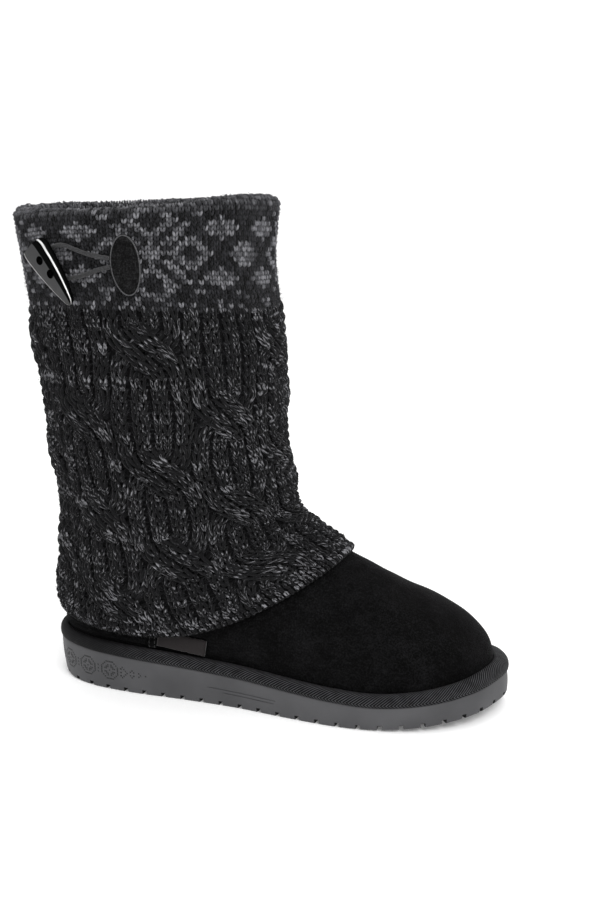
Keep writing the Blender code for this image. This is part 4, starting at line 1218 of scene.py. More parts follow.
@dataclass
class KnitSleeve:
    """The whole knitted tube: stitches over a dark ground."""

    cable: CableSection = field(default_factory=CableSection)
    band: PatternBand = field(default_factory=PatternBand)
    hem: HemRib = field(default_factory=HemRib)

    def build_ground(self, material: bpy.types.Material) -> bpy.types.Object:
        """Make the tube that is seen between stitches, with its inner face."""
        angles = turns(240)
        q = np.concatenate([np.arange(HEM - 0.6, KNIT.end - 1.5, 2.4)])
        sunk = -0.75 * np.ones((len(q), len(angles)))
        outer = KNIT.at(angles[None, :], q[:, None], sunk)
        back = q[::-1]
        inner = KNIT.at(angles[None, :], back[:, None], sunk - 1.2)
        points = np.concatenate([outer, inner])
        quads = grid_quads(1, len(points), len(angles), closed=True)
        last = (len(points) - 1) * len(angles)
        column = np.arange(len(angles))
        after = (column + 1) % len(angles)
        quads = np.concatenate([quads, np.stack([last + column, last + after, after, column], axis=-1)])
        mesh = quad_mesh("knit_ground", world(points.reshape(-1, 3)), quads)
        piece = add_object("knit_ground", mesh, [material], "charcoal_knit")
        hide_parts("knit_sleeve")
        return piece

    def build(self, marl: bpy.types.Material, band: bpy.types.Material, ground: bpy.types.Material,
              fibre: bpy.types.Material) -> list[bpy.types.Object]:
        """Make every piece of the sleeve."""
        pieces = self.cable.build(marl)
        pieces.append(self.cable.build_purl(marl))
        pieces.append(self.hem.build(marl))
        pieces += self.band.build(band)
        pieces.append(self.build_ground(ground))
        pieces.append(StrayFibres().build(fibre))
        return pieces


# Boot, welt and sole

@dataclass
class BootShell:
    """Suede boot with its fleece lining, one wall from feather edge to collar."""

    sides: int = 288
    heel_middle: float = 45.0
    # Soft wrinkles of the suede: place round in degrees, place up, half length, half width, depth
    creases: tuple[tuple[float, float, float, float, float], ...] = (
        (-14.0, 44.0, 26.0, 3.2, -0.55), (6.0, 50.0, 22.0, 3.0, -0.40), (-34.0, 38.0, 20.0, 4.0, -0.45),
        (24.0, 42.0, 24.0, 3.6, -0.45), (-150.0, 24.0, 16.0, 3.0, -0.35), (160.0, 22.0, 16.0, 3.0, -0.35))

    def relief(self, angles: np.ndarray, places: np.ndarray) -> np.ndarray:
        """Give how far the suede stands out or in from its even form."""
        depth = np.zeros((len(places), len(angles)))
        for turn, place, half_length, half_width, deep in self.creases:
            away = (np.degrees(angles)[None, :] - turn + 180) % 360 - 180
            along = np.radians(away) * 60 / half_length
            across = (places[:, None] - place - 0.05 * away) / half_width
            trough = np.exp(-along**2 - across**2)
            ridge = np.exp(-along**2 - (across - 2.0) ** 2)
            depth += deep * trough - 0.55 * deep * ridge
        wave = 0.18 * np.sin(3 * angles[None, :] + places[:, None] / 9) * np.sin(places[:, None] / 14)
        return (depth + wave) * ramp(places, 7, 14)[:, None] * (1 - ramp(places, HEM - 4, HEM + 6)[:, None])

    def build(self, suede: bpy.types.Material, fleece: bpy.types.Material) -> bpy.types.Object:
        """Make the shell with suede outside and fleece inside."""
        even = turns(self.sides)
        angles = even + BOOT.crowding * np.sin(2 * even)
        places = np.concatenate([np.linspace(0, HEM + 8, 60), np.linspace(HEM + 14, COLLAR, 24)])
        base, normal = BOOT.surface(angles, places)
        outer = base + normal * self.relief(angles, places)[:, :, None]
        back = places[::-1]
        base, normal = BOOT.surface(angles, back)
        # Low down, where the suede turns hollow over the welt, the wall is measured level
        normal[:, :, 2] *= ramp(back, 14, 30)[:, None]
        # At the heel the sections crowd, and the hidden inner face keeps towards the heel's middle
        heel = ramp(-np.cos(angles), -0.2, 0.2)[None, :] * (ramp(back, 4, 16) * (1 - ramp(back, 75, 95)))[:, None]
        level = unit((base - np.array([self.heel_middle, 0.0, 0.0])) * np.array([1.0, 1.0, 0.0]))
        way = unit(normal) * (1 - heel)[:, :, None] + level * heel[:, :, None]
        inner = base - unit(way) * (BOOT.wall + 1.5 * heel)[:, :, None]
        points = np.concatenate([outer, inner])
        rows = len(points)
        quads = grid_quads(1, rows, self.sides, closed=True)
        slots = np.repeat(np.arange(rows - 1) >= len(places) - 1, self.sides).astype(int)
        column = np.arange(self.sides)
        after = (column + 1) % self.sides
        last = (rows - 1) * self.sides
        quads = np.concatenate([quads, np.stack([last + column, last + after, after, column], axis=-1)])
        slots = np.concatenate([slots, np.ones(self.sides, int)])
        mesh = quad_mesh("boot_shell", world(points.reshape(-1, 3)), quads, slots=slots)
        piece = add_object("boot_shell", mesh, [suede, fleece], "black_suede")
        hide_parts("upper")
        return piece


@dataclass
class Footbed:
    """Fleece footbed inside the boot."""

    thick: float = 5.0
    sides: int = 144

    def build(self, fleece: bpy.types.Material) -> bpy.types.Object:
        """Make a slab with a rounded edge and a slightly dished face."""
        even = turns(self.sides)
        angles = even + BOOT.crowding * np.sin(2 * even)
        inset = BOOT.sole.column("ledge", angles) + BOOT.wall + 2 * BOOT.seat
        plan = BOOT.sole.outline(angles, inset)
        low = BOOT.sole.height(True, plan[:, 0]) + BOOT.seat
        middle = np.array([plan[:, 0].mean(), 0.0])
        rings = [np.column_stack([plan, low]), np.column_stack([plan, low + self.thick - 1.4])]
        for share, rise in ((0.985, -0.3), (0.95, 0.0), (0.8, -0.2), (0.5, -0.6), (0.2, -0.8), (0.04, -0.8)):
            flat = middle + (plan - middle) * share
            height = BOOT.sole.height(True, flat[:, 0]) + BOOT.seat + self.thick + rise
            rings.append(np.column_stack([flat, height]))
        piece = add_object("footbed", loft("footbed", rings, caps=True), [fleece], "grey_fleece")
        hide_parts("insole")
        return piece


@dataclass
class Welt:
    """Rounded rand between sole and suede, covered with tape."""

    sides: int = 480
    profile: tuple[tuple[float, float], ...] = (
        (1.0, 0.0), (0.0, 0.0), (-0.045, 0.12), (-0.06, 0.28), (-0.045, 0.46), (0.0, 0.62), (0.07, 0.74),
        (0.17, 0.85), (0.3, 0.93), (0.45, 0.98), (0.62, 1.0), (0.8, 0.985), (1.0, 0.92))

    def build(self, tape: bpy.types.Material) -> bpy.types.Object:
        """Sweep the rand round the sole, with its lengths as UV."""
        angles = turns(self.sides + 1)[:-1] * 1.0
        angles = np.linspace(-math.pi, math.pi, self.sides + 1)
        angles = angles + BOOT.crowding * np.sin(2 * angles)
        sole = BOOT.sole
        inner = sole.column("ledge", angles) - BOOT.seat - 0.1
        outer = -sole.column("flare", angles) - 0.6
        base = sole.height(True, sole.outline(angles)[:, 0]) + BOOT.seat
        rings = []
        for share, rise in self.profile:
            plan = sole.outline(angles, outer + (inner - outer) * share)
            rings.append(np.column_stack([plan, base + BOOT.welt_height * rise]))
        rings.append(rings[0])
        rings = np.array(rings)
        edge = rings[3]
        along = np.concatenate([[0.0], np.cumsum(np.linalg.norm(np.diff(edge, axis=0), axis=1))])
        steps = np.linalg.norm(np.diff(rings, axis=0), axis=2)
        across = np.concatenate([np.zeros((1, steps.shape[1])), np.cumsum(steps, axis=0)])
        across = across - across[1]
        uv = np.stack([np.broadcast_to(along, across.shape), across], axis=-1).reshape(-1, 2)
        quads = grid_quads(1, len(rings), len(angles))
        mesh = quad_mesh("welt_tape", world(rings.reshape(-1, 3)), quads, uv)
        work = bmesh.new()
        work.from_mesh(mesh)
        bmesh.ops.remove_doubles(work, verts=work.verts, dist=1e-6)
        work.to_mesh(mesh)
        work.free()
        piece = add_object("welt_rand", mesh, [tape], "welt_tape")
        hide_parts("welt")
        return piece


@dataclass
class UnitSole:
    """Moulded sole with notches, cross grooves, waist hollow, side lines and heel ornament."""

    sides: int = 360
    notch_pitch: float = 12.2
    notch: tuple[float, float, float] = (8.0, 2.7, 2.9)
    grooves: tuple[float, ...] = (34.0, 52.0, 160.0, 178.0, 196.0, 214.0, 232.0)
    lines: tuple = (((106.0, 11.0), (150.0, 9.6)), ((116.0, 8.6), (149.0, 7.8)))
    cell: float = 1.1           # size of one cell of the ornament
    rosette_pitch: float = 16.0
    rosette: tuple[str, ...] = (
        "...#####...", "..#.....#..", ".#..#.#..#.", "#..##.##..#", "#.##...##.#", "#....#....#",
        "#.##...##.#", "#..##.##..#", ".#..#.#..#.", "..#.....#..", "...#####...")
    trail: tuple[str, ...] = (
        ".#...............", "#.#....#.........", "...#..#.#..#.....", "#...#.......#..#.", "...#..#.#..#.....",
        "#.#....#.........", ".#...............")

    def frame(self, x: float, y_side: int, height: float) -> tuple[np.ndarray, np.ndarray, np.ndarray]:
        """Give a point on the sole's side with its ways inward and up."""
        angle = np.array([y_side * math.acos(2 * x / BOOT.sole.length - 1)])
        point = BOOT.sole.side(angle, np.array([height]))[0]
        inner = BOOT.sole.side(angle, np.array([height]), 1.0)[0] - point
        return point, inner, np.array([0.0, 0.0, 1.0])

    def notch_mesh(self) -> bpy.types.Mesh:
        """Make the slots through the lower edge."""
        fine = np.linspace(0, 2 * math.pi, 1441)
        edge = BOOT.sole.outline(fine)
        length = np.concatenate([[0.0], np.cumsum(np.linalg.norm(np.diff(edge, axis=0), axis=1))])
        count = int(length[-1] / self.notch_pitch)
        work = bmesh.new()
        deep, wide, high = self.notch
        for number in range(count):
            angle = np.array([np.interp((number + 0.5) * length[-1] / count, length, fine)])
            near, inner = BOOT.sole.outline(angle)[0], BOOT.sole.outline(angle, 1.0)[0]
            point = BOOT.sole.outline(angle, deep / 2 - 2.0)[0]
            floor = BOOT.sole.height(False, near[0])[0]
            x_axis = Vector((*(inner - near), 0)).normalized()
            y_axis = Vector((0, 0, 1)).cross(x_axis)
            place = Matrix((x_axis, y_axis, Vector((0, 0, 1)))).transposed().to_4x4()
            place.translation = Vector(world(np.array([*point, floor])))
            size = Matrix.Diagonal((deep * MM, wide * MM, 2 * high * MM, 1.0))
            bmesh.ops.create_cube(work, size=1.0, matrix=place @ size)
        mesh = bpy.data.meshes.new("notches")
        work.to_mesh(mesh)
        work.free()
        return mesh

    def groove_mesh(self) -> bpy.types.Mesh:
        """Make the bowed grooves that part the lugs."""
        points, faces = [], []
        for x in self.grooves:
            angle = math.acos(2 * x / BOOT.sole.length - 1)
            left = float(BOOT.sole.column("width", np.array([angle]))[0]) - 11.0
            right = float(BOOT.sole.column("width", np.array([-angle]))[0]) + 11.0
            start = len(points)
            for level, share in enumerate(np.linspace(0, 1, 9)):
                y = right + (left - right) * share
                middle = x + 6.0 * (1 - (2 * share - 1) ** 2)
                floor = float(BOOT.sole.height(False, middle)[0])
                points += [(middle - 1.5, y, floor - 3), (middle + 1.5, y, floor - 3),
                           (middle + 1.5, y, floor + 1.8), (middle - 1.5, y, floor + 1.8)]
                if level:
                    base = start + 4 * level
                    faces += [(base - 4 + i, base + i, base + (i + 1) % 4, base - 4 + (i + 1) % 4)
                              for i in range(4)]
            last = start + 32
            faces += [(start, start + 1, start + 2, start + 3), (last + 3, last + 2, last + 1, last)]
        mesh = bpy.data.meshes.new("grooves")
        mesh.from_pydata([tuple(point) for point in world(np.array(points))], [], faces)
        return self.outward(mesh)

    def arch_mesh(self) -> bpy.types.Mesh:
        """Make the ball that hollows the waist."""
        spread = 1 / math.sqrt(1 - (9.0 / 11.4) ** 2)
        place = Matrix.Translation(Vector(world(np.array([112.0, -3.0, -9.0]))))
        size = Matrix.Diagonal((34.0 * spread * MM, 20.0 * spread * MM, 11.4 * MM, 1.0))
        work = bmesh.new()
        bmesh.ops.create_uvsphere(work, u_segments=48, v_segments=24, radius=1.0, matrix=place @ size)
        mesh = bpy.data.meshes.new("arch")
        work.to_mesh(mesh)
        work.free()
        return mesh

    def line_mesh(self) -> bpy.types.Mesh:
        """Make the shallow lines of the waist on both sides."""
        points, faces = [], []
        for start, end in self.lines:
            for side in (-1, 1):
                first = len(points)
                for level, share in enumerate(np.linspace(0, 1, 13)):
                    point, inner, up = self.frame(start[0] + (end[0] - start[0]) * share, side,
                                                  start[1] + (end[1] - start[1]) * share)
                    half = 0.32 * math.sqrt(max(0.05, 1 - (2 * share - 1) ** 4))
                    points += [point + up * half - inner * 2, point - up * half - inner * 2,
                               point - up * half + inner * 0.35, point + up * half + inner * 0.35]
                    if level:
                        base = first + 4 * level
                        faces += [(base - 4 + i, base + i, base + (i + 1) % 4, base - 4 + (i + 1) % 4)
                                  for i in range(4)]
                last = first + 48
                faces += [(first, first + 1, first + 2, first + 3), (last + 3, last + 2, last + 1, last)]
        mesh = bpy.data.meshes.new("lines")
        mesh.from_pydata([tuple(point) for point in world(np.array(points))], [], faces)
        return self.outward(mesh)

    @staticmethod
    def outward(mesh: bpy.types.Mesh) -> bpy.types.Mesh:
        """Turn the faces of each closed part outward."""
        work = bmesh.new()
        work.from_mesh(mesh)
        bmesh.ops.recalc_face_normals(work, faces=work.faces)
        work.to_mesh(mesh)
        work.free()
        return mesh

    def cells(self) -> list[tuple[float, float]]:
        """Give the ornament's cells, by length round the heel from its middle and by height."""
        found = []
        high = len(self.rosette)
        for side in (-1, 1):
            for number in range(4):
                centre = (number + 0.75) * self.rosette_pitch
                for row, line in enumerate(self.rosette):
                    for column, sign in enumerate(line):
                        if sign == "#":
                            found.append((side * (centre + (column - 5) * self.cell), (high // 2 - row) * self.cell))
                for away in (-0.5, 0.5):
                    found += [(side * (centre + away * self.rosette_pitch), rise) for rise in (-2.2, 0.0, 2.2)]
            for row, line in enumerate(self.trail):
                for column, sign in enumerate(line):
                    if sign == "#":
                        start = 3.75 * self.rosette_pitch + 7.6
                        found.append((side * (start + column * self.cell), (3 - row) * self.cell))
        return found

    def build_ornament(self, cell_shade: bpy.types.Material) -> bpy.types.Object:
        """Make the small sunk-looking cells of the moulded ornament round the heel, on both sides."""
        fine = np.linspace(math.pi - 2.3, math.pi + 2.3, 1201)
        edge = BOOT.sole.outline(fine)
        length = np.concatenate([[0.0], np.cumsum(np.linalg.norm(np.diff(edge, axis=0), axis=1))])
        middle = np.interp(math.pi, fine, length)
        points, quads = [], []
        places = list(dict.fromkeys((round(a, 2), round(h, 2)) for a, h in self.cells()))
        half = 0.40 * self.cell
        corners = ((-half, -half), (half, -half), (half, half), (-half, half))
        around = np.array([np.interp(middle + a + dx, length, fine) for a, h in places for dx, dy in corners])
        floor = BOOT.sole.height(False, BOOT.sole.outline(around)[:, 0])
        top = BOOT.sole.height(True, BOOT.sole.outline(around)[:, 0])
        heights = (floor + top) / 2 + 1.3 + np.array([h + dy for a, h in places for dx, dy in corners])
        face = BOOT.sole.side(around, heights, -0.06)
        root = BOOT.sole.side(around, heights, 0.3)
        count = len(places)
        for number in range(count):
            base = 8 * number
            points += [*face[4 * number:4 * number + 4], *root[4 * number:4 * number + 4]]
            quads.append((base, base + 1, base + 2, base + 3))
            quads += [(base + i, base + 4 + i, base + 4 + (i + 1) % 4, base + (i + 1) % 4) for i in range(4)]
        # The cells take the dark rubber as painted shade, so they read as sunk
        mesh = quad_mesh("heel_ornament", world(np.array(points)), np.array(quads))
        piece = add_object("heel_ornament", self.outward(mesh), [cell_shade], "sole_rubber")
        return piece

    def build(self, rubber: bpy.types.Material, shade: bpy.types.Material) -> bpy.types.Object:
        """Make the sole, its notches and grooves shaded."""
        even = turns(self.sides)
        angles = even + BOOT.crowding * np.sin(2 * even)
        mesh = loft("unit_sole", BOOT.sole.rings(angles), caps=True)
        piece = add_object("unit_sole", mesh, [rubber], "sole_rubber")
        piece.data.materials.append(shade)
        for cutter, finish in ((self.arch_mesh(), rubber), (self.groove_mesh(), shade), (self.notch_mesh(), shade),
                               (self.line_mesh(), rubber)):
            cutter.materials.append(finish)
            cut(piece, cutter)
        piece.data.shade_smooth()
        piece.data.set_sharp_from_angle(angle=math.radians(34))
        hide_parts("outsole")
        return piece


# Small parts

def suede_spot(x: float, height: float, side: int) -> tuple[np.ndarray, np.ndarray]:
    """Find the suede's point and outward way at a distance from the heel and a height.

    Args:
        x: Distance from the back of the heel.
        height: Height over the floor.
        side: -1 for the lateral side and 1 for the medial one.

    Returns:
        The point and the unit way out.
    """
    angles = side * np.linspace(0.25, math.pi - 0.25, 90)
    places = np.linspace(5.0, HEM + 20, 70)
    base, normal = BOOT.surface(angles, places)
    miss = (base[:, :, 0] - x) ** 2 + (base[:, :, 2] - height) ** 2
    i, j = np.unravel_index(np.argmin(miss), miss.shape)
    angles = np.linspace(angles[j] - 0.05, angles[j] + 0.05, 41)
    places = np.linspace(max(0.0, places[i] - 1.6), places[i] + 1.6, 41)
    base, normal = BOOT.surface(angles, places)
    miss = (base[:, :, 0] - x) ** 2 + (base[:, :, 2] - height) ** 2
    i, j = np.unravel_index(np.argmin(miss), miss.shape)
    return base[i, j], normal[i, j]


def slab(name: str, spine: np.ndarray, across: np.ndarray, out: np.ndarray, half: np.ndarray,
         low: float, high: float, roundness: int = 4) -> bpy.types.Mesh:
    """Make a strip with soft edges along a spine.

    Args:
        name: Name of the mesh.
        spine: Points along the strip.
        across: Unit way over the strip at each point.
        out: Unit way off the surface at each point.
        half: Half width at each point.
        low: Lift of its underside.
        high: Lift of its crown.
        roundness: Points of each rounded edge.

    Returns:
        The closed mesh.
    """
    radius = (high - low) / 2
    ring = []
    for i in range(2 * roundness + 1):
        angle = -math.pi / 2 + math.pi * i / (2 * roundness)
        ring.append((1.0, math.cos(angle) * radius - radius, math.sin(angle) * radius + low + radius))
    profile = ring + [(0.5, 0.0, high + 0.08), (0.0, 0.0, high + 0.12), (-0.5, 0.0, high + 0.08)]
    profile += [(-1.0, -shift, lift) for one, shift, lift in ring[::-1]]
    rings = []
    for point, side, way, width in zip(spine, across, out, half):
        rings.append(np.array([point + side * (share * width + shift) + way * lift
                               for share, shift, lift in profile]))
    mesh = loft(name, rings, caps=True)
    return UnitSole.outward(mesh)


@dataclass
class SeamBinding:
    """Suede strip over a side seam with a row of stitches at each edge."""

    x: float = 70.0
    width: float = 5.6
    low: float = 30.4
    high: float = 46.0

    def build(self, side: int, suede: bpy.types.Material, thread: bpy.types.Material) -> bpy.types.Object:
        """Make the strip and its stitches."""
        name = "binding_lateral" if side < 0 else "binding_medial"
        heights = np.linspace(self.low, self.high, 14)
        spots = [suede_spot(self.x, height, side) for height in heights]
        spine = np.array([point for point, normal in spots])
        out = unit(np.array([normal for point, normal in spots]))
        along = unit(np.gradient(spine, axis=0))
        across = unit(np.cross(along, out))
        mesh = slab(name, spine, across, out, np.full(len(spine), self.width / 2), 0.15, 1.5)
        piece = add_object(name, mesh, [suede], "black_suede")
        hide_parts("seam_binding_lateral" if side < 0 else "seam_binding_medial")
        stitches = StitchRow(2.6, 0.45)
        for edge in (-1, 1):
            line = spine + across * edge * (self.width / 2 - 1.1) + out * 1.62
            stitches.add(line, out)
        row = stitches.build(name + "_stitches", thread)
        row.parent = piece
        return piece


@dataclass
class StitchRow:
    """Short sewn stitches along lines, joined in one piece."""

    pitch: float
    thick: float
    points: list = field(default_factory=list)

    def add(self, line: np.ndarray, out: np.ndarray) -> None:
        """Lay stitches along a line of points, with the ways out at them."""
        length = np.concatenate([[0.0], np.cumsum(np.linalg.norm(np.diff(line, axis=0), axis=1))])
        count = max(1, int(length[-1] / self.pitch))
        for number in range(count):
            at = (number + np.array([0.14, 0.3, 0.5, 0.7, 0.86])) * length[-1] / count
            middle = np.column_stack([np.interp(at, length, line[:, k]) for k in range(3)])
            way = unit(np.column_stack([np.interp(at, length, out[:, k]) for k in range(3)]))
            along = unit(np.gradient(middle, axis=0))
            side = unit(np.cross(along, way))
            arch = np.array([-0.3, 0.12, 0.25, 0.12, -0.3])[:, None]
            size = self.thick * np.array([0.7, 1.0, 1.05, 1.0, 0.7])[:, None] / 2 * 1.3
            turn = np.linspace(0, 2 * math.pi, 7)[:-1]
            tube = (middle + way * arch)[:, None, :] + (side[:, None, :] * np.cos(turn)[None, :, None]
                                                        + way[:, None, :] * np.sin(turn)[None, :, None]) * size[:, None]
            self.points.append(tube)

    def build(self, name: str, thread: bpy.types.Material, slot: str | None = None) -> bpy.types.Object:
        """Join the stitches in one piece."""
        tubes = np.array(self.points)
        quads = grid_quads(len(tubes), 5, 6, closed=True)
        mesh = quad_mesh(name, world(tubes.reshape(-1, 3)), quads)
        return add_object(name, mesh, [thread], slot)


@dataclass
class SideTab:
    """Blank folded tab of woven tape, sewn in at the lateral seam."""

    start: float = 73.7
    length: float = 31.0
    height: float = 9.4

    def build(self, cloth: bpy.types.Material) -> bpy.types.Object:
        """Make the tab with a soft fold at its free end."""
        spots = []
        for share in np.linspace(0, 1, 22):
            x = self.start + self.length * share
            point, out = suede_spot(x, 35.8 - 2.6 * share, -1)
            spots.append((point + out * (0.8 * share**2 + 0.25 * math.sin(3.1 * share)), out))
        spine = np.array([point for point, out in spots])
        out = unit(np.array([out for point, out in spots]))
        along = unit(np.gradient(spine, axis=0))
        across = unit(np.cross(out, along))
        mesh = slab("side_tab_cloth", spine, across, out, np.full(len(spine), self.height / 2), 0.5, 1.9, 3)
        piece = add_object("side_tab_cloth", mesh, [cloth], "plain_tab")
        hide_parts("side_tab")
        return piece


def band_spot(turn: float, height: float, lift: float) -> tuple[np.ndarray, np.ndarray]:
    """Find the point over the band at a turn and a height.

    Args:
        turn: Degrees from the lateral side towards the toe.
        height: Height over the floor of the suede face under it.
        lift: Distance over the yarn's crown.

    Returns:
        The point and the unit way out.
    """
    angle = np.array([side_angle(turn)])
    places = np.linspace(PLACES[12], COLLAR, 60)
    base, normal = BOOT.surface(angle, places)
    place = np.interp(height, base[:, 0, 2], places)
    base, normal = BOOT.surface(angle, np.array([place]))
    return base[0, 0] + normal[0, 0] * (KNIT.air + KNIT.wall + lift), normal[0, 0]


@dataclass
class TogglePatch:
    """Oval suede patch with a thin rolled edge."""

    place: tuple[float, float] = (8.6, 258.5)
    size: tuple[float, float] = (16.5, 34.0)
    thick: float = 1.3

    def build(self, suede: bpy.types.Material, edge: bpy.types.Material) -> bpy.types.Object:
        """Make the patch and its rolled edge."""
        turn, height = self.place
        a, normal = band_spot(turn, height, 0.0)
        b, normal = band_spot(turn + 1, height, 0.0)
        per_degree = float(np.linalg.norm(b - a))

        def ring(scale: float, lift: float, count: int = 96) -> tuple[np.ndarray, np.ndarray]:
            """Give a ring of the oval and its ways out."""
            spots = [band_spot(turn + scale * self.size[0] / 2 * math.sin(angle) / per_degree,
                               height + scale * self.size[1] / 2 * math.cos(angle), lift)
                     for angle in turns(count)]
            return np.array([spot[0] for spot in spots]), np.array([spot[1] for spot in spots])

        rings = [ring(scale, lift)[0] for scale, lift in (
            (0.05, 0.3), (0.6, 0.2), (0.96, 0.15), (1.0, 0.5), (1.0, 0.9), (0.97, 1.25), (0.9, 1.45),
            (0.84, 1.35), (0.79, 1.15), (0.7, 1.3), (0.45, 1.6), (0.2, 1.7), (0.04, 1.7))]
        mesh = UnitSole.outward(loft("patch_suede", rings, caps=True))
        piece = add_object("patch_suede", mesh, [suede], "black_suede")
        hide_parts("toggle_patch")
        # Grey piping round the edge is a painted highlight on the rolled edge
        line = ring(0.965, 1.2)[0]
        curve = bpy.data.curves.new("patch_piping", "CURVE")
        curve.dimensions = "3D"
        curve.bevel_depth = 0.36 * MM
        curve.bevel_resolution = 3
        spline = curve.splines.new("POLY")
        spline.points.add(len(line) - 1)
        for target, point in zip(spline.points, world(line)):
            target.co = (*point, 1.0)
        spline.use_cyclic_u = True
        piping = add_object("patch_piping", curve, [edge], "black_suede")
        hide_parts("toggle_patch")
        return piece


@dataclass
class ToggleLoop:
    """Round elastic cord from the patch round the neck of the toggle and back."""

    diameter: float = 2.4
    length: float = 100.0
    route: tuple[tuple[float, float], ...] = (
        (1.95, 262.4), (-3.0, 263.2), (-8.0, 264.6), (-13.5, 266.8), (-18.5, 268.6), (-23.0, 268.2),
        (-27.5, 265.2), (-31.0, 260.6), (-32.6, 256.2), (-31.0, 252.6), (-27.0, 250.8), (-22.0, 250.2),
        (-17.0, 250.6), (-11.5, 252.2), (-6.0, 254.6), (-2.0, 256.4), (1.95, 257.4))

    def build(self, elastic: bpy.types.Material) -> bpy.types.Object:
        route = np.array(self.route)
        fine = smooth(np.arange(len(route)), route, np.linspace(0, len(route) - 1, 64))
        points = np.array([band_spot(turn, height, 0.4 + self.diameter / 2)[0] for turn, height in fine])
        length = float(np.linalg.norm(np.diff(points, axis=0), axis=1).sum())
        log.info("loop measures %.1f mm", length)
        curve = bpy.data.curves.new("loop_cord", "CURVE")
        curve.dimensions = "3D"
        curve.bevel_depth = self.diameter / 2 * MM
        curve.bevel_resolution = 4
        curve.use_fill_caps = True
        spline = curve.splines.new("POLY")
        spline.points.add(len(points) - 1)
        for target, point in zip(spline.points, world(points)):
            target.co = (*point, 1.0)
        piece = add_object("loop_cord", curve, [elastic], "elastic_cord")
        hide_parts("toggle_loop")
        tuple(world(points)[0])
        return piece


@dataclass
class HornToggle:
    """Horn-shaped button with two holes, flat outside and round inside."""

    rows: tuple[tuple[float, float, float], ...] = (
        (0.0, 14.0, 6.0), (1.2, 15.0, 6.8), (9.0, 15.2, 7.0), (19.0, 12.8, 6.6), (28.0, 9.6, 5.6),
        (35.0, 6.2, 4.4), (39.0, 3.6, 3.0), (40.6, 1.4, 1.4))
    # Cross-section as shares of half the width and of the thickness, from the face's middle
    outline: tuple[tuple[float, float], ...] = (
        (-0.25, 0.0), (0.35, 0.0), (0.42, -0.015), (0.55, -0.07), (0.68, -0.15), (0.77, -0.225), (0.87, -0.34),
        (0.94, -0.46), (0.98, -0.58), (1.0, -0.70), (0.97, -0.83), (0.88, -0.93), (0.70, -0.99), (0.35, -1.0),
        (0.0, -1.0), (-0.34, -0.96), (-0.60, -0.88), (-0.82, -0.75), (-0.95, -0.60), (-1.0, -0.44),
        (-1.0, -0.22), (-0.985, -0.08), (-0.95, -0.02), (-0.90, 0.0))
    face_edges: tuple[int, ...] = (0, 23)           # edges of the outline that make the flat face
    highlight_edges: tuple[int, ...] = (5, 21, 22)       # edges that carry a pale streak, a painted highlight
    dark_reflection_edges: tuple[int, ...] = (1, 2, 3, 4, 6, 7, 8, 9)      # the dark strips beside the streak: painted dark reflection, matt black
    holes: tuple[tuple[float, float], ...] = ((10.0, 0.0), (19.9, 0.8))
    bore: float = 4.9
    place: Matrix = field(default_factory=lambda: Matrix((
        (0.635885, 0.707812, -0.307658, -0.113094), (-0.143869, -0.282934, -0.948288, -0.05784),
        (-0.758256, 0.647264, -0.078081, 0.267332), (0.0, 0.0, 0.0, 1.0))))

    def section(self, width: float, thick: float) -> np.ndarray:
        """Give a cross-section: flat face, round flank and belly."""
        return np.array(self.outline) * (width / 2, thick)

    def slot(self, edge: int) -> int:
        """Give the material slot of an edge of the outline."""
        kinds = (self.face_edges, self.highlight_edges, self.dark_reflection_edges)
        return next((i + 1 for i, edges in enumerate(kinds) if edge in edges), 0)

    def build(self, *finishes: bpy.types.Material) -> bpy.types.Object:
        """Make the horn, its ground face with painted soft reflection, painted highlight streaks and painted dark
        reflection strips, and bore its holes.
        """
        table = np.array(self.rows)
        along = np.concatenate([[0.0, 0.35], np.linspace(1.2, 38.0, 30), [39.2, 40.1, 40.5, 40.6]])
        sizes = smooth(table[:, 0], table[:, 1:], along)
        sizes[0] *= 0.955
        rings = []
        for x, (width, thick) in zip(along, sizes):
            section = self.section(width, thick)
            rings.append([(x * MM, y * MM, z * MM) for y, z in section])
        count = len(rings[0])
        work = bmesh.new()
        corners = [[work.verts.new(self.place @ Vector(point)) for point in row] for row in rings]
        for low, high in zip(corners, corners[1:]):
            for i in range(count):
                j = (i + 1) % count
                facet = work.faces.new((low[i], low[j], high[j], high[i]))
                facet.material_index = self.slot(i)
        work.faces.new(corners[0])
        work.faces.new(corners[-1])
        bmesh.ops.recalc_face_normals(work, faces=work.faces)
        mesh = bpy.data.meshes.new("horn")
        work.to_mesh(mesh)
        work.free()
        piece = add_object("horn_toggle", mesh, list(finishes), "black_horn")
        bores = bmesh.new()
        for x, y in self.holes:
            bmesh.ops.create_cone(bores, cap_ends=True, segments=40, radius1=self.bore / 2 * MM,
                                  radius2=self.bore / 2 * MM, depth=20 * MM,
                                  matrix=self.place @ Matrix.Translation((x * MM, y * MM, 0)))
        cutter = bpy.data.meshes.new("bores")
        bores.to_mesh(cutter)
        bores.free()
        cut(piece, cutter)
        piece.data.shade_smooth()
        piece.data.set_sharp_from_angle(angle=math.radians(38))
        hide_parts("toggle")
        return piece


# Studio

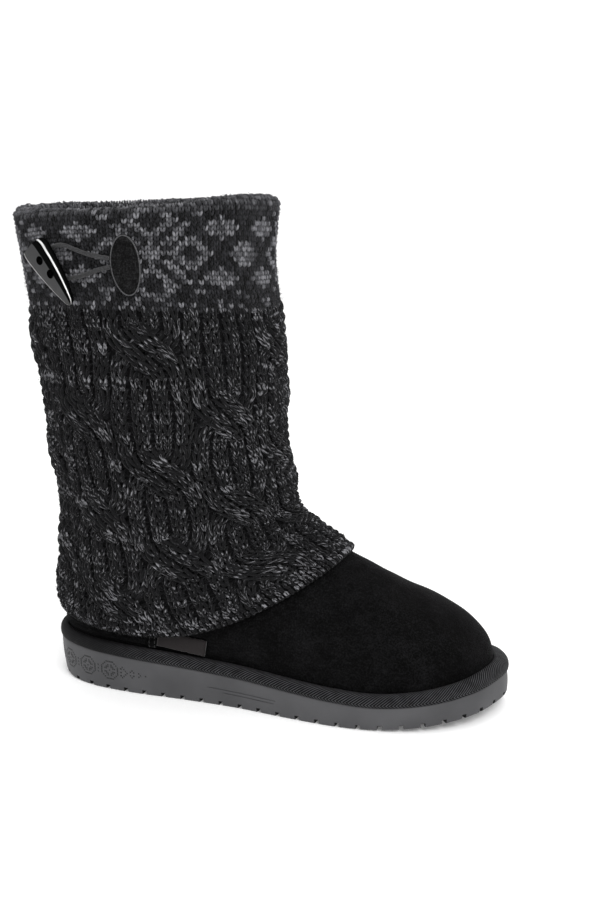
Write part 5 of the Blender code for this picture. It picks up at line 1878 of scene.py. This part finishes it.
@dataclass
class Studio:
    """White sweep, soft light and the camera of the reference view."""

    eye_m: tuple[float, float, float] = (0.24804202, -0.7549633, 0.33375676)
    look: tuple[float, float, float] = (-0.27673944, 0.93326682, -0.22897231)
    roll: float = -0.00138468767
    lens: float = 55.898
    world_strength: float = 0.85

    def build_camera(self) -> bpy.types.Object:
        """Make the camera."""
        data = bpy.data.cameras.new("camera")
        data.sensor_fit = "VERTICAL"
        data.sensor_height = 36.0
        data.lens = self.lens
        data.clip_start = 0.01
        camera = bpy.data.objects.new("camera", data)
        bpy.context.scene.collection.objects.link(camera)
        turn = Vector(self.look).to_track_quat("-Z", "Y").to_matrix().to_4x4()
        camera.matrix_world = Matrix.Translation(self.eye_m) @ turn @ Matrix.Rotation(self.roll, 4, "Z")
        bpy.context.scene.camera = camera
        return camera

    def build_light(self, name: str, place: Sequence[float], aim: Sequence[float], size: float,
                    power: float) -> None:
        """Make one soft square light."""
        data = bpy.data.lights.new(name, "AREA")
        data.size = size
        data.energy = power
        light = bpy.data.objects.new(name, data)
        bpy.context.scene.collection.objects.link(light)
        way = Vector(aim) - Vector(place)
        light.matrix_world = Matrix.Translation(place) @ way.to_track_quat("-Z", "Y").to_matrix().to_4x4()

    def build(self, paper: bpy.types.Material) -> None:
        """Make the sweep, lights and world."""
        rows = [(-3.0, 0.0), (1.2, 0.0), (1.6, 0.04), (1.9, 0.18), (2.1, 0.45), (2.2, 0.9), (2.2, 3.0)]
        points = np.array([[(x, y, z) for x in np.linspace(-4, 4, 9)] for y, z in rows]).reshape(-1, 3)
        mesh = quad_mesh("sweep", points, grid_quads(1, len(rows), 9))
        mesh.materials.append(paper)
        floor = bpy.data.objects.new("sweep", mesh)
        bpy.context.scene.collection.objects.link(floor)
        self.build_light("key", (0.9, -1.1, 1.5), (0.0, 0.0, 0.12), 0.9, 21.0)
        self.build_light("fill", (-1.3, -0.9, 0.9), (0.0, 0.0, 0.12), 1.4, 3.0)
        self.build_light("top", (0.0, 0.4, 1.7), (0.0, 0.0, 0.1), 1.2, 8.0)
        world_data = bpy.data.worlds.new("studio")
        world_data.use_nodes = True
        back = world_data.node_tree.nodes["Background"]
        back.inputs[0].default_value = linear("#ffffff")
        back.inputs[1].default_value = self.world_strength
        bpy.context.scene.world = world_data
        bpy.context.scene.view_settings.view_transform = "Standard"
        bpy.context.scene.view_settings.look = "None"


def main() -> None:
    """Build the studio and each part of the boot in order."""
    logging.basicConfig(level=logging.INFO, format="%(name)s: %(message)s")
    studio = Studio()
    studio.build_camera()
    loop = ToggleLoop()
    loop.build(WovenCloth("black_braided_elastic", "#141415", "#3c3c3e", 0.9).build())
    studio.build(SweepPaper().build())

    suede = BrushedSuede().build()
    fleece = CurlyFleece().build()
    rubber = MouldedRubber().build()
    shade = MouldedRubber("shaded_moulded_rubber", "#0c0c0d", "#161617").build()
    marl = MarlYarn().build()
    # Grey of the patch's rolled edge is a painted highlight
    thread = WovenCloth("rolled_edge_painted_highlight", "#303032", "#565658", 0.5).build()
    black_thread = WovenCloth("black_sewing_thread", "#0c0c0d", "#2a2a2b", 0.5).build()

    sole = UnitSole()
    sole.build(rubber, shade)
    log.info("sole built")
    sole.build_ornament(shade)
    Welt().build(HerringboneTape().build())
    Footbed().build(fleece)
    BootShell().build(suede, fleece)
    log.info("boot built")
    KnitSleeve().build(marl, BandYarn().build(), KnitGround().build(),
                       KnitGround("stray_wool_fibres", "#262628", "#3e3e41").build())
    for side in (-1, 1):
        SeamBinding().build(side, suede, black_thread)
    SideTab().build(WovenCloth("dark_woven_tab", "#080304", "#130a0b", 0.8).build())
    # The patch's suede is lighter than the boot's
    TogglePatch().build(BrushedSuede("lighter_patch_suede", "#080808", "#2b2b2c").build(), thread)
    toggle = HornToggle()
    # The ground face is grey, partly a painted soft reflection of the light on the flat face
    toggle.build(PolishedHorn().build(), PolishedHorn("ground_horn_face_painted_reflection", "#2a2a2b", "#353536", 0.5, 0.0).build(),
                 # Painted highlight: the pale streak along the flank
                 PolishedHorn("painted_highlight_horn_streak", "#b9b9b9", "#f2f2f2", 0.3, 0.4).build(),
                 # Painted dark reflection: the matt black strips beside the streak
                 PolishedHorn("painted_dark_reflection_horn_edge", "#010101", "#030303", 0.5, 0.0, 0.03).build())
    log.info("small parts built")


if __name__ == "__main__":
    main()
